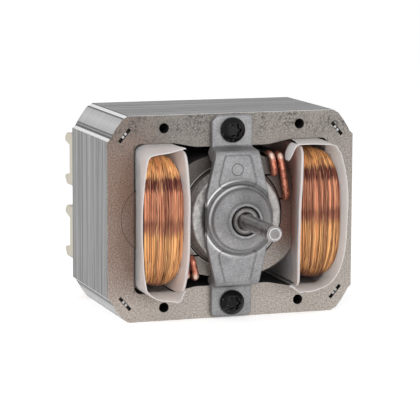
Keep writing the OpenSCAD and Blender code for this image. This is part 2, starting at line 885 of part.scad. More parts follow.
module bracket(foot_hole_r) {
    color(casting)
        difference() {
            union() {
                difference() {
                    intersection() {
                        translate([arm_shift, 0, 0]) along_y(-arm_front, 0)
                            polygon(rounded(arm_outline));
                        along_x(-half_w, half_w)
                            for (s = [-1, 1]) scale([1, s]) polygon(rounded(arm_side));
                    }
                    translate([arm_shift, 0, 0])
                        for (s = [-1, 1]) scale([1, 1, s])
                            along_y(-arm_front - cut, -arm_front + panel_depth) arm_panel();
                }
                turned() polygon(rounded(hub_profile, 5));
                turned() square([boss_r, arm_back + slice]);
            }
            turned() square([boss_r + cut, boss_back]);
            turned() square([pocket_r, pocket_front]);
            turned() square([bush_seat_r, bush_mid]);
            turned() square([hub_hole_r, hub_reach + cut]);
            translate([0, -bush_mid, 0]) sphere(r = bush_seat_r);
            for (s = [-1, 1])
                translate([arm_shift, 0, s * screw_z])
                    along_y(-foot_t - cut, cut) circle(r = foot_hole_r, $fn = 48);
            translate([arm_shift, 0, arm_rise_z - tool_mark_drop])
                along_y(-arm_front - cut, -arm_front + panel_depth + tool_mark_depth) tool_mark();
            translate([arm_shift - foot_w / 2, 0, foot_end])
                along_y(-foot_t - cut, cut)
                    rotate(45) square(sqrt(2) * foot_chamfer, center = true);
        }
}

module front_bracket() {
    bracket(screw_hole_r);
}

module rear_bracket() {
    at_rear() bracket(thread_r);
}

// Ball-shaped sintered bush with a lead-in at each end of its bore
module bush() {
    bore = shaft_r + shaft_clearance;
    lead = 0.4;
    color("#8d7a66")
        turned()
            intersection() {
                translate([0, bush_mid]) circle(r = bush_r);
                polygon([
                    [bore + lead, bush_back],
                    [bush_r, bush_back],
                    [bush_r, bush_front],
                    [bore + lead, bush_front],
                    [bore, bush_front - lead],
                    [bore, bush_back + lead]]);
            }
}

module front_bush() {
    bush();
}

module rear_bush() {
    at_rear() bush();
}

// Felt ring that keeps oil beside the bush
module felt() {
    color("#d8cfae")
        turned()
            translate([felt_inner_r, felt_back])
                square([pocket_r - loose_gap - felt_inner_r, pocket_front - slip_gap - felt_back]);
}

module front_felt() {
    felt();
}

module rear_felt() {
    at_rear() felt();
}

// Dished spring clip that presses the bush into its seat
module clip() {
    color("#a9abad")
        turned()
            polygon([
                [clip_inner_r, clip_front - clip_t],
                [clip_rim_r, clip_back],
                [pocket_r - slip_gap, clip_back],
                [pocket_r - slip_gap, clip_back + clip_t],
                [clip_rim_r, clip_back + clip_t],
                [clip_inner_r, clip_front]]);
}

module front_clip() {
    clip();
}

module rear_clip() {
    at_rear() clip();
}

module collar(r, from, to) {
    turned() translate([shaft_hole_r, from]) square([r - shaft_hole_r, to - from]);
}

module front_spacer() {
    color("#e8e3d2") collar(spacer_r, slip_gap, washer_back - slip_gap);
}

module rear_spacer() {
    at_rear() front_spacer();
}

module front_washer() {
    color("#5b4632") collar(washer_r, washer_back, washer_front);
}

module rear_washer() {
    at_rear() front_washer();
}

head_profile = [
    [0, foot_t, 0],
    [head_d / 2, foot_t, 0],
    [head_d / 2, foot_t + 0.45 * head_h, 0.8],
    [0.3 * head_d, foot_t + head_h, 1.2],
    [0, foot_t + head_h, 0]];

// Six-lobed recess of a screw head
module drive() {
    lobe_r = 0.13 * drive_d;
    circle(r = 0.37 * drive_d, $fn = 48);
    for (i = [0:5])
        rotate(60 * i) translate([drive_d / 2 - lobe_r, 0]) circle(r = lobe_r, $fn = 24);
}

module screw() {
    difference() {
        union() {
            turned() polygon(rounded(head_profile, 5));
            along_y(-foot_t - slice, stack_l + foot_t + screw_stand_out)
                circle(d = screw_d, $fn = 48);
        }
        along_y(-foot_t - head_h - cut, -foot_t - head_h + drive_depth) drive();
    }
}

module bracket_screws() {
    color("#26272a")
        for (s = [-1, 1]) translate([arm_shift, 0, s * screw_z]) screw();
}

// Side outline of a housing behind the stack: a block with a sloped latch horn at each end
module housing_outline() {
    back = stack_l + housing_l;
    h = housing_h / 2;
    upper = [
        [stack_l, h, 0], [back + horn_l - horn_slope, h, 0],
        [back + horn_l, h - horn_t / 2, 0], [back + horn_l, h - horn_t, 0],
        [back, h - horn_t - horn_slope / 2, 0]];
    polygon(rounded(concat(upper, reversed(flipped(upper, 1, -1)))));
}

module at_spades() {
    for (s = [-1, 1]) translate([0, 0, s * spade_pitch / 2]) children();
}

module terminal_housing() {
    back = stack_l + housing_l;
    color("#ddd5bd")
        difference() {
            along_x(-housing_w / 2, housing_w / 2) housing_outline();
            at_spades()
                translate([0, back - spade_root, 0])
                    along_y(0, spade_root + horn_l + cut)
                        square([spade_t + 2 * slip_gap, spade_w + 2 * slip_gap], center = true);
        }
}

// Spade terminal with a pointed tip and the small hole that its connector snaps into
module spade() {
    back = stack_l + housing_l;
    tip = back + spade_l;
    h = spade_w / 2;
    color("#b9b7ae")
        difference() {
            along_x(-spade_t / 2, spade_t / 2)
                polygon([
                    [back - spade_root + slip_gap, -h], [tip - 1, -h], [tip, 1 - h],
                    [tip, h - 1], [tip - 1, h], [back - spade_root + slip_gap, h]]);
            translate([0, back + spade_l / 2, 0])
                along_x(-spade_t, spade_t) circle(d = spade_w / 2.4, $fn = 24);
        }
}

module upper_terminal_housing() {
    translate([-housing_x, 0, upper_housing_z]) terminal_housing();
}

module lower_terminal_housing() {
    translate([-housing_x, 0, -lower_housing_z]) terminal_housing();
}

module upper_terminals() {
    translate([-housing_x, 0, upper_housing_z]) at_spades() spade();
}

module lower_terminals() {
    translate([-housing_x, 0, -lower_housing_z]) at_spades() spade();
}

yoke_stack();
pole_stack();
short_ring_right();
long_ring_right();
short_ring_left();
long_ring_left();
bobbin_left();
bobbin_right();
coil_left();
coil_right();
film_left();
film_right();
rotor_core();
rotor_cage();
shaft();
front_bracket();
rear_bracket();
front_bush();
rear_bush();
front_felt();
rear_felt();
front_clip();
rear_clip();
front_spacer();
rear_spacer();
front_washer();
rear_washer();
bracket_screws();
upper_terminal_housing();
lower_terminal_housing();
upper_terminals();
lower_terminals();
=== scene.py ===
import math

import bmesh
import bpy
from bpy.props import FloatProperty, FloatVectorProperty, IntProperty, PointerProperty
from mathutils import Matrix, Vector, noise


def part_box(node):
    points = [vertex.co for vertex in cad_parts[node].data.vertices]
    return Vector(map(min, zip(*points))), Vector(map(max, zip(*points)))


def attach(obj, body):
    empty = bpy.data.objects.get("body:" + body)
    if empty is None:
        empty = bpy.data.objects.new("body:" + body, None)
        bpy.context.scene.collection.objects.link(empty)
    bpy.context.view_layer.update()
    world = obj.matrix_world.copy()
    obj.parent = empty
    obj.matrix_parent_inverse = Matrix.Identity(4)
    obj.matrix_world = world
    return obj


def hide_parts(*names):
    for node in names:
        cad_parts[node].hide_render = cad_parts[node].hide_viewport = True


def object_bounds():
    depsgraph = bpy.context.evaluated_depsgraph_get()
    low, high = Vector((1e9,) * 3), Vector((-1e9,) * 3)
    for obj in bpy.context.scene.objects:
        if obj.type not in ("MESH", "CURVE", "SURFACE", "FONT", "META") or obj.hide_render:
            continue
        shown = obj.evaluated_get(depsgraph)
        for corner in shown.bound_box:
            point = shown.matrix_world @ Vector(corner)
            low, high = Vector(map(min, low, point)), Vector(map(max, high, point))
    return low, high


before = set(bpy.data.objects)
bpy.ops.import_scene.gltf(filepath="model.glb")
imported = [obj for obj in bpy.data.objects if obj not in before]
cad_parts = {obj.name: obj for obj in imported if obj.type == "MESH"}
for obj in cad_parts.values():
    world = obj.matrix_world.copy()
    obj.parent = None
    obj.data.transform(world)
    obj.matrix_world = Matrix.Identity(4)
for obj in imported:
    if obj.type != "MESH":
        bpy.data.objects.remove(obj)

bl_info = {
    "name": "Cooker Hood Fan Motor",
    "version": (1, 0, 0),
    "blender": (4, 5, 0),
    "location": "3D View > Sidebar > Motor",
    "description": "Dresses the solids of a shaded-pole fan motor with its windings, sheets and finishes",
    "category": "Object",
}

MM = 0.001
CAD_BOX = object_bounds()
STACK_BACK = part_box("yoke_stack")[1].y
STACK_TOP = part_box("yoke_stack")[1].z


def paint(red, green, blue):
    """Turns a colour of 0 to 255, as a screen shows it, into the linear colour of a shader."""
    shares = [value / 255 for value in (red, green, blue)]
    return tuple(s / 12.92 if s <= 0.04045 else ((s + 0.055) / 1.055) ** 2.4 for s in shares)


def colour(name, description, *shown):
    """Colour that the user can set, given as a screen shows it."""
    return FloatVectorProperty(
        name=name,
        description=description,
        subtype="COLOR",
        size=3,
        min=0,
        max=1,
        default=paint(*shown),
    )


def length(name, description, millimetres):
    """Length that the user can set."""
    default = millimetres * MM
    return FloatProperty(name=name, description=description, unit="LENGTH", min=0, default=default)


def angle(name, description, degrees):
    """Angle that the user can set."""
    default = math.radians(degrees)
    return FloatProperty(name=name, description=description, subtype="ANGLE", default=default)


class WindingSettings(bpy.types.PropertyGroup):
    """Sizes of the copper windings."""

    wire_d: length("Wire", "Diameter of the enamelled wire", 0.42)
    turns: IntProperty(name="Turns", description="Strands across a winding", default=33, min=4)
    layers: IntProperty(name="Layers", description="Layers of strands", default=2, min=1, max=4)
    reach: length("Reach", "How far the winding bulges out of the stack", 11.9)
    half_height: length("Half height", "Half of the height of the winding", 21.4)
    seat_inner: length("Inner seat", "Side next to the rotor, inside the stack", 21.75)
    seat_outer: length("Outer seat", "Side next to the yoke, inside the stack", 31.4)
    bulge_inner: length("Inner bulge", "Side next to the rotor, outside the stack", 19.4)
    bulge_outer: length("Outer bulge", "Side next to the yoke, outside the stack", 32.9)
    right_inner: length("Right inner bulge", "Inner bulge of the right winding", 20.0)
    right_outer: length("Right outer bulge", "Outer bulge of the right winding", 34.2)
    stray: length("Stray", "How far the strands stray sideways", 0.4)


class SheetSettings(bpy.types.PropertyGroup):
    """Sizes of the bobbin flanges and the insulating films."""

    flange_t: length("Flange", "Wall of a bobbin flange", 0.8)
    flange_reach: length("Flange reach", "How far an inner flange stands out of the stack", 12.4)
    outer_reach: length("Outer reach", "How far an outer flange stands out of the stack", 6.5)
    film_t: length("Film", "Thickness of the insulating film", 0.3)
    film_reach: length("Film reach", "How far the film stands out of the stack", 12.4)
    wave: length("Waves", "How uneven the free edge of a sheet is", 0.3)


class CastingSettings(bpy.types.PropertyGroup):
    """Fineness of the castings and their rounded edges."""

    front_grain: length("Front casting", "Mesh size of the front bracket", 0.25)
    rear_grain: length("Rear casting", "Mesh size of the rear bracket", 0.34)
    rounds: IntProperty(name="Rounding", description="Passes that soften the edges", default=4)


class ColourSettings(bpy.types.PropertyGroup):
    """Colours of the finishes."""

    lamination_face: colour("Lamination face", "Front of the stack", 176, 168, 160)
    lamination_stain: colour("Lamination stain", "Stained part of the front", 131, 105, 91)
    lamination_edge: colour("Lamination edge", "Sides of the stack", 162, 162, 162)
    copper_bright: colour("Copper", "Bright strands of the windings", 255, 192, 126)
    copper_rose: colour("Copper, middle", "Strands at the middle of the windings", 222, 150, 114)
    varnish: colour("Dark copper", "Dark bands across the windings", 98, 38, 30)
    ring_copper: colour("Ring copper", "Bare wire of the shading rings", 238, 160, 130)
    film: colour("Film", "Insulating film", 246, 238, 234)
    flange: colour("Flange", "Bobbin plastic", 230, 221, 220)
    casting: colour("Casting", "Brackets", 144, 143, 145)
    cage: colour("Cage", "Cast cage of the rotor", 242, 238, 234)
    shaft: colour("Shaft", "Ground steel", 206, 203, 202)
    bush: colour("Bush", "Sintered bush", 156, 152, 150)
    screw: colour("Screw", "Black passivated screw", 14, 14, 15)
    cream: colour("Cream", "Terminal housings", 226, 218, 198)


class StageSettings(bpy.types.PropertyGroup):
    """Place and lens of the camera."""

    azimuth: angle("Azimuth", "Camera's turn", -18.885)
    elevation: angle("Elevation", "Camera's rise", 8.669)
    roll: angle("Roll", "Camera's roll", 0.2245)
    distance: length("Distance", "From the camera to the motor", 717.5)
    lens: FloatProperty(name="Lens", default=190.13, description="Focal length in millimetres")
    target: FloatVectorProperty(
        name="Target",
        description="Point that the camera looks at",
        subtype="TRANSLATION",
        unit="LENGTH",
        default=(-7.518 * MM, 0, 2.043 * MM),
    )


class MotorSettings(bpy.types.PropertyGroup):
    """Everything that a user would change."""

    winding: PointerProperty(type=WindingSettings)
    sheets: PointerProperty(type=SheetSettings)
    casting: PointerProperty(type=CastingSettings)
    colours: PointerProperty(type=ColourSettings)
    stage: PointerProperty(type=StageSettings)


class Value:
    """A number or colour of a node tree, which takes part in sums as a plain number does."""

    def __init__(self, made, socket):
        self.made = made
        self.socket = socket

    def math(self, operation, *others):
        return self.made.math(operation, self, *others)

    def __add__(self, other):
        return self.math("ADD", other)

    def __sub__(self, other):
        return self.math("SUBTRACT", other)

    def __rsub__(self, other):
        return self.made.math("SUBTRACT", other, self)

    def __mul__(self, other):
        return self.math("MULTIPLY", other)

    def __truediv__(self, other):
        return self.math("DIVIDE", other)

    def __pow__(self, other):
        return self.math("POWER", other)

    def __abs__(self):
        return self.math("ABSOLUTE")


class Nodes:
    """A node tree, whose nodes are added from left to right."""

    def __init__(self, tree):
        self.tree = tree

    def put(self, socket, value):
        """Links a value of the tree to a socket, or sets the socket to a plain value."""
        if isinstance(value, Value):
            self.tree.links.new(value.socket, socket)
        elif socket.type == "RGBA":
            socket.default_value = (*value[:3], 1)
        else:
            socket.default_value = value

    def add(self, kind, inputs=None, **settings):
        """Adds a node with its settings, and with its inputs by number or name."""
        node = self.tree.nodes.new(kind)
        for name, value in settings.items():
            setattr(node, name, value)
        for key, value in (inputs or {}).items():
            self.put(node.inputs[key], value)
        return node

    def value(self, kind, inputs=None, output=0, **settings):
        """Adds a node and gives one of its outputs."""
        return Value(self, self.add(kind, inputs, **settings).outputs[output])

    def math(self, operation, a, b=0.0, c=0.0, **settings):
        return self.value("ShaderNodeMath", {0: a, 1: b, 2: c}, operation=operation, **settings)

    def split(self, vector):
        return [Value(self, part) for part in self.add("ShaderNodeSeparateXYZ", {0: vector}).outputs]


class Finish(Nodes):
    """A material with its coordinates, its normals and how sharp its edges are."""

    def __init__(self, name):
        self.material = bpy.data.materials.new(name)
        self.material.use_nodes = True
        super().__init__(self.material.node_tree)
        self.shader = self.tree.nodes["Principled BSDF"]
        self.place = self.value("ShaderNodeTexCoord", output="Object")
        self.normal = self.value("ShaderNodeTexCoord", output="Normal")
        self.edges = self.value("ShaderNodeNewGeometry", output="Pointiness")

    def shade(self, **values):
        """Sets inputs of the shader, whose names are written with underscores."""
        for name, value in values.items():
            self.put(self.shader.inputs[name.replace("_", " ")], value)

    def bump(self, height, depth, strength=1.0):
        inputs = {"Height": height, "Distance": depth, "Strength": strength}
        self.shade(Normal=self.value("ShaderNodeBump", inputs))

    def noise(self, scale, detail=3, roughness=0.6, vector=None):
        vector = vector or self.place
        inputs = {"Vector": vector, "Scale": scale, "Detail": detail, "Roughness": roughness}
        return self.value("ShaderNodeTexNoise", inputs)

    def drawn(self, x, y, z, detail, roughness):
        """Noise that is drawn out, finer along the larger numbers."""
        vector = self.value("ShaderNodeMapping", {"Vector": self.place, "Scale": (x, y, z)})
        return self.noise(1, detail, roughness, vector)

    def ranged(self, value, low, high, to_low=0.0, to_high=1.0, smooth=False):
        """Turns the range from low to high into the one from to_low to to_high, and stops there."""
        kind = "SMOOTHSTEP" if smooth else "LINEAR"
        inputs = {"Value": value, 1: low, 2: high, 3: to_low, 4: to_high}
        return self.value("ShaderNodeMapRange", inputs, interpolation_type=kind)

    def inside(self, value, low, high, soft):
        """1 where a value is between low and high, and 0 beyond, with soft limits."""
        rise = self.ranged(value, low - soft, low)
        return rise * self.ranged(value, high, high + soft, 1.0, 0.0)

    def near(self, value, place, full, gone, most=1.0):
        """most where a value is closer to a place than full, down to 0 where it is gone."""
        return self.ranged(abs(value - place), full, gone, most, 0)

    def mixed(self, factor, a, b, blend="MIX"):
        inputs = {0: factor, 6: a, 7: b}
        return self.value("ShaderNodeMix", inputs, 2, data_type="RGBA", blend_type=blend)

    def times(self, shown, by):
        return self.mixed(1.0, shown, by, "MULTIPLY")

    def covered(self, shown, by, pattern, low, high, most=1.0):
        """Lays a colour over another one, from none where a pattern is low to most where it is high."""
        return self.mixed(self.ranged(pattern, low, high, 0.0, most), shown, by)

    def grey(self, level):
        return self.value("ShaderNodeCombineColor", {0: level, 1: level, 2: level})

    def ramp(self, factor, *stops):
        """Colours at places from 0 to 1, each stop a place and a colour."""
        node = self.add("ShaderNodeValToRGB", {0: factor})
        elements = node.color_ramp.elements
        while len(elements) < len(stops):
            elements.new(1)
        for element, (place, shown) in zip(elements, stops):
            element.position = place
            element.color = (*shown, 1)
        return Value(self, node.outputs[0])

    def banded(self, value, bands):
        """How light a surface is at a value, from bands of a place in millimetres and a level."""
        start, end = bands[0][0], bands[-1][0]
        stops = [((place - start) / (end - start), (level,) * 3) for place, level in bands]
        return self.ramp(self.ranged(value, start * MM, end * MM), *stops)

    def distance(self, x, z, from_x=0.0, from_z=0.0):
        """Distance from an axis along the shaft's direction, whose place is in millimetres."""
        x = x - from_x * MM
        z = z - from_z * MM
        return (x * x + z * z).math("SQRT")


def darker(shade, share):
    """Colour with a share of its light."""
    return tuple(share * value for value in shade)


def blended(a, b, share):
    """Colour at a share of the way from one to the other."""
    return tuple(x + share * (y - x) for x, y in zip(a, b))


def lighter(shade, share):
    """Colour at a share of the way to white."""
    return blended(shade, (1, 1, 1), share)


def tint(name):
    """Colour of a finish, as the user has set it."""
    return tuple(getattr(bpy.context.scene.motor.colours, name))


SOOT = (0.05, 0.05, 0.05)
SEAM_BLACK = (0.03, 0.025, 0.02)
# Painted shade: the dark hairline along the sides of the window
WINDOW_RIM_SHADE = (0.02, 0.018, 0.016)
# Painted shade on the walls of every opening in the stack
OPENING_SHADE = (0.012, 0.011, 0.01)
SPECK_BLACK = (0.04, 0.04, 0.04)
PORE_BROWN = (0.07, 0.05, 0.04)
# A burr along the top edge, painted as a highlight
BURR_HIGHLIGHT = (0.7, 0.7, 0.7)
# Painted shade on the upper parts of the poles
POLE_SHADE = (0.035, 0.025, 0.022)
# Painted shade on the rotor's laminations, which lie behind the end ring
ROTOR_FACE_SHADE = (0.05, 0.026, 0.022)
# Painted reflection of the copper on the right pole
POLE_COPPER_REFLECTION = (0.64, 0.4, 0.35)
# Painted highlight along the edge of the bore
BORE_EDGE_HIGHLIGHT = (0.62, 0.6, 0.58)
GLINT = (1.0, 0.6, 0.3)
TARNISH = (0.34, 0.1, 0.07)
# Painted highlight on the bends of the shading rings
RING_BEND_HIGHLIGHT = (0.95, 0.72, 0.6)
# Painted shade on the legs of the rings inside the stack
RING_LEG_SHADE = (0.02, 0.01, 0.008)
# Painted reflection of the copper on the films and flanges
SHEET_COPPER_REFLECTION = (1.0, 0.92, 0.88)

# Half width and half height of the window, and how far out a cut corner is from the shaft axis
WINDOW_SIDE, WINDOW_TOP = 33 * MM, 21.7 * MM
CORNER_OUT = 47.25 * MM
INTERLOCK_X, INTERLOCK_Z = 36.3 * MM, 27.2 * MM
AIR_GAP = 0.3 * MM
BORE_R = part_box("rotor_core")[1].x + AIR_GAP
STACK_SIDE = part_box("yoke_stack")[1].x
# The cut corners of the stack, as wide and as high as this in millimetres
CORNER_X, CORNER_Z = 7.1, 8.2
CORNER = math.hypot(CORNER_X, CORNER_Z)
SLOPE_X, SLOPE_Z = CORNER_X / CORNER, CORNER_Z / CORNER
# Painted light and shade across a cut corner's width: two smooth steps of painted highlight between dark
# lines of painted shade, brushed between
CORNER_SHADING = (
    (34.9, 0.1),
    (35.15, 0.1),
    (35.3, 0.95),
    (36.25, 0.95),
    (36.4, 0.08),
    (36.7, 0.08),
    (36.95, 0.5),
    (38.6, 0.62),
    (40.1, 0.5),
    (40.2, 0.12),
    (40.35, 0.12),
    (40.5, 0.4),
    (40.65, 0.1),
    (40.95, 0.1),
    (41.1, 0.95),
    (41.8, 0.95),
    (42.0, 0.3),
)


def lamination_finish(name, seams=False):
    """Punched steel: grainy faces at the front and rear, fine lines along the outer sides.

    The walls of the window, the holes and the slots are painted nearly black, as painted shade.
    """
    made = Finish(name)
    x, y, z = made.split(made.place)
    nx, ny, nz = made.split(made.normal)
    across, up = abs(x), abs(z)
    fine = made.noise(1900, 3, 0.85)
    front = front_colour(made, x, z, fine)
    if seams:
        front = made.mixed(root_seam(made, x, z), front, SEAM_BLACK)
    in_window = made.ranged(across, 32.2 * MM, 33.1 * MM, 1, 0)
    in_window *= made.ranged(up, WINDOW_TOP - 0.1 * MM, WINDOW_TOP + 0.1 * MM, 1, 0)
    front = made.mixed(in_window, front, pole_colour(made, front, x, z))
    # Painted shade at the bottom of each interlock, which lies deeper than the face
    slot = made.inside(y, 0.1 * MM, STACK_BACK - 0.1 * MM, 0.01 * MM)
    front = made.mixed(slot, front, interlock_colour(made, across, up))
    # Painted shade: a dark hairline on the face along the sides of the window
    rim = made.inside(across, WINDOW_SIDE, WINDOW_SIDE + 0.25 * MM, 0.06 * MM)
    rim *= made.ranged(up, 23.5 * MM, 24.5 * MM, 0.8, 0)
    front = made.mixed(rim, front, WINDOW_RIM_SHADE)
    lines = made.drawn(14, 1500, 14, 4, 0.9)
    edge = side_colour(made, lines)
    edge = corner_shine(made, edge, lines, across, nx, nz, up)
    edge = chipped(made, edge, y)
    outer = outer_sides(made, across, up)
    # Painted shade: the walls of the window, the holes and the slots are made nearly black
    edge = made.mixed(outer, OPENING_SHADE, edge)
    flat = made.ranged(abs(ny), 0.6, 0.8)
    shown = flat.math("MAXIMUM", outer)
    made.shade(
        Base_Color=made.mixed(flat, edge, front),
        Metallic=shown * 0.3,
        Roughness=made.ranged(shown, 0, 1, 0.95, 0.5),
    )
    made.bump((1.0 - flat) * lines + fine * 0.5, 0.1 * MM)
    return made.material


def side_colour(made, lines):
    """Light and dark lines of the laminations, with a few dark gaps."""
    middle = tint("lamination_edge")
    dark = darker(middle, 0.32)
    edge = made.covered(dark, lighter(middle, 0.25), lines, 0.34, 0.66)
    edge = made.covered(edge, dark, made.drawn(8, 650, 8, 2, 0.6), 0.45, 0.6, 0.4)
    return made.covered(edge, SOOT, made.drawn(3, 520, 3, 1, 0.5), 0.63, 0.67, 0.75)


def corner_shine(made, edge, lines, across, nx, nz, up):
    """Brushed cut corners between two smooth bright steps, which are painted highlights, with painted
    shade in the dark lines.
    """
    slope = abs(nz) / abs(nx).math("MAXIMUM", 0.01)
    foot = STACK_TOP - CORNER_Z * MM
    beyond = made.ranged(up, foot - 0.1 * MM, foot)
    corner = made.inside(slope, 0.35, 3.0, 0.02) * beyond
    brushed = made.grey(made.ranged(lines, 0.3, 0.7, 0.35, 0.65))
    # Painted highlights and shade across the cut corner, laid over the brushed lines
    shine = made.mixed(0.8, made.banded(across, CORNER_SHADING), brushed, "OVERLAY")
    return made.mixed(corner, edge, shine)


def chipped(made, edge, y):
    """Dark chips along the front edge of the outer sides."""
    chips = made.ranged(made.noise(700, 2, 0.7), 0.48, 0.56)
    return made.mixed(chips * made.ranged(y, 0.3 * MM, 0.6 * MM, 0.85, 0), edge, SOOT)


def outer_sides(made, across, up):
    """1 on the outer sides and the cut corners, and 0 on the walls of every opening."""
    side = made.ranged(across, STACK_SIDE - 0.3 * MM, STACK_SIDE - 0.2 * MM)
    top = made.ranged(up, STACK_TOP - 0.3 * MM, STACK_TOP - 0.2 * MM)
    out = across * SLOPE_Z + up * SLOPE_X
    corner = made.ranged(out, CORNER_OUT - 0.05 * MM, CORNER_OUT + 0.05 * MM)
    return side.math("MAXIMUM", top).math("MAXIMUM", corner)


def interlock_colour(made, across, up):
    """Black bottom of an interlock, which is painted shade, with two bright pressed marks."""
    along = (across - INTERLOCK_X) * SLOPE_X - (up - INTERLOCK_Z) * SLOPE_Z
    mark = made.inside(abs(along), 0.3 * MM, 1.0 * MM, 0.12 * MM)
    return made.mixed(mark, (0.01, 0.01, 0.01), (0.5, 0.49, 0.48))


def front_colour(made, x, z, fine):
    """Blasted face: brown stains at the left, painted shade that makes it darker and greyer towards the
    top, and smudges at the top.
    """
    face = tint("lamination_face")
    # Painted shade: the face gets darker towards the top
    tone = made.covered(darker(face, 0.62), face, z, 31 * MM, -30 * MM)
    dull = made.ranged(x, 0.0, -34 * MM) * made.ranged(z, -10 * MM, 26 * MM)
    tone = made.mixed(dull * 0.45, tone, SOOT)
    left = made.ranged(x, -20 * MM, -34 * MM, 0, 0.9, smooth=True)
    left *= made.ranged(z, -16 * MM, -28 * MM, 1, 0.2)
    left *= made.ranged(z, 20 * MM, 30 * MM, 1, 0.4)
    stain = left * made.ranged(made.noise(75, 4, 0.6), 0.3, 0.65, 0.6, 1.1)
    tone = made.mixed(stain, tone, tint("lamination_stain"))
    grain = made.grey(made.ranged(fine, 0.28, 0.72, 0.12, 0.86))
    tone = made.mixed(0.95, tone, grain, "OVERLAY")
    smudge = made.ranged(made.noise(130, 3, 0.7), 0.43, 0.56) * made.ranged(z, 20 * MM, 30 * MM)
    specks = made.ranged(made.noise(1000, 3, 0.8), 0.48, 0.55) * smudge
    tone = made.mixed(specks * 0.8, tone, SPECK_BLACK)
    tone = made.covered(tone, PORE_BROWN, made.noise(620, 2, 0.8), 0.68, 0.72, 0.7)
    # Painted highlight where the burr along the top edge catches the light
    return made.covered(tone, BURR_HIGHLIGHT, z, STACK_TOP - 0.3 * MM, STACK_TOP - 0.15 * MM, 0.5)


def pole_colour(made, front, x, z):
    """Poles and rotor inside the window: painted shade above, lighter towards the lower right, a painted
    reflection of the copper on the right pole, painted shade on the rotor and a painted highlight along
    the left of the bore.
    """
    # Painted shade: darker above, lighter towards the lower right
    unshaded = made.ranged(x * 0.5 - z, -6 * MM, 14 * MM, 0.0, 0.9, smooth=True)
    shown = made.mixed(unshaded, made.mixed(0.75, front, POLE_SHADE), front)
    # Painted reflection: the copper tints the right pole
    copper_bounce = made.ranged(x, 11 * MM, 17 * MM) * made.ranged(z, -14 * MM, -6 * MM)
    shown = made.mixed(copper_bounce, shown, POLE_COPPER_REFLECTION, "MULTIPLY")
    radius = made.distance(x, z)
    # Painted shade on the face of the rotor core
    rotor = made.ranged(radius, BORE_R - AIR_GAP - 0.1 * MM, BORE_R - AIR_GAP, 0.7, 0)
    shown = made.mixed(rotor, shown, ROTOR_FACE_SHADE)
    # Painted highlight along the left edge of the bore
    bore_highlight = made.inside(radius, BORE_R - 0.05 * MM, BORE_R + 0.3 * MM, 0.1 * MM)
    return made.mixed(bore_highlight * made.ranged(x, 2 * MM, -2 * MM, 0, 0.75), shown, BORE_EDGE_HIGHLIGHT)


def root_seam(made, x, z):
    """Dark hairline where the round root of a pole is set into the side limb."""
    root_depth, neck_half = 4.4 * MM, 9.1 * MM
    radius = (root_depth**2 + neck_half**2) / (2 * root_depth)
    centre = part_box("pole_stack")[1].x - radius
    side = abs(x) - centre
    line = made.near(made.distance(side, z), radius, 0.1 * MM, 0.24 * MM)
    beside = made.ranged(abs(z), neck_half, neck_half + 0.1 * MM, 1, 0)
    return line * beside * made.ranged(side, 3 * MM, 4 * MM)


def winding_finish():
    """Enamelled wire: gold bands at the ends, which are painted highlights, rose in the middle, with dark
    bands across.
    """
    made = Finish("enamelled_copper")
    x, _, z = made.split(made.place)
    strand = made.value("ShaderNodeAttribute", output="Fac", attribute_name="strand")
    ragged = made.drawn(1300, 100, 130, 3, 0.75)
    lower_at_right = x.math("GREATER_THAN", 0.0) * (1.5 * MM)
    height = z + (ragged - 0.5) * (6 * MM) - lower_at_right
    share = made.ranged(height, -22 * MM, 22 * MM)
    gold, rose, dark = tint("copper_bright"), tint("copper_rose"), tint("varnish")
    # Bands by height: the gold bands are painted highlights
    bands = made.ramp(
        share,
        (0.0, dark),
        (0.06, darker(gold, 0.8)),
        (0.4, darker(gold, 0.92)),
        (0.455, blended(rose, dark, 0.5)),
        (0.5, blended(rose, dark, 0.7)),
        (0.55, darker(rose, 0.92)),
        (0.72, darker(rose, 0.92)),
        (0.755, dark),
        (0.815, dark),
        (0.85, gold),
        (0.96, gold),
        (1.0, dark),
    )
    hue = (strand * 7.3).math("FRACT")
    bands = made.covered(bands, blended(rose, dark, 0.55), hue, 0.4, 1, 0.6)
    tone = made.ranged(strand, 0, 1, 0.45, 1.4)
    # Painted light: the top of the winding is made lighter, and the lower part a little lighter too
    tone *= made.ranged(share, 0.82, 0.92, 1, 1.45)
    tone *= made.ranged(share, 0.35, 0.42, 1.14, 1)
    toned = made.times(bands, made.grey(tone.math("MINIMUM", 1.45)))
    toned = made.covered(toned, dark, made.drawn(2600, 260, 60, 2, 0.7), 0.5, 0.34, 0.85)
    # Painted glints on some strands
    toned = made.covered(toned, GLINT, made.drawn(2300, 300, 120, 2, 0.7), 0.56, 0.72, 0.6)
    made.shade(Base_Color=toned, Metallic=0.45, Roughness=0.36)
    made.bump(made.noise(900, 2), 0.03 * MM)
    return made.material


def bare_copper(top):
    """Bare wire of the shading rings: brown tarnish, bright bends that are painted highlights, and dark
    legs inside the stack that are painted shade.

    top is the height of the highest ring.
    """
    made = Finish("bare_copper")
    _, y, z = made.split(made.place)
    shown = made.covered(TARNISH, tint("ring_copper"), made.noise(650, 4, 0.75), 0.42, 0.6)
    out = abs(y - STACK_BACK / 2) - STACK_BACK / 2
    # Painted highlight on the bends out of the stack
    bend = made.ranged(abs(z), top - 2.6 * MM, top - 1.4 * MM)
    bend *= made.ranged(out, 1.4 * MM, 2.2 * MM, 0, 0.85)
    shown = made.mixed(bend, shown, RING_BEND_HIGHLIGHT)
    # Painted shade on the legs inside the stack
    shown = made.covered(shown, RING_LEG_SHADE, out, -0.2 * MM, -2.0 * MM)
    made.shade(Base_Color=shown, Metallic=0.7, Roughness=0.34)
    made.bump(made.noise(700, 4, 0.7), 0.4 * MM)
    return made.material


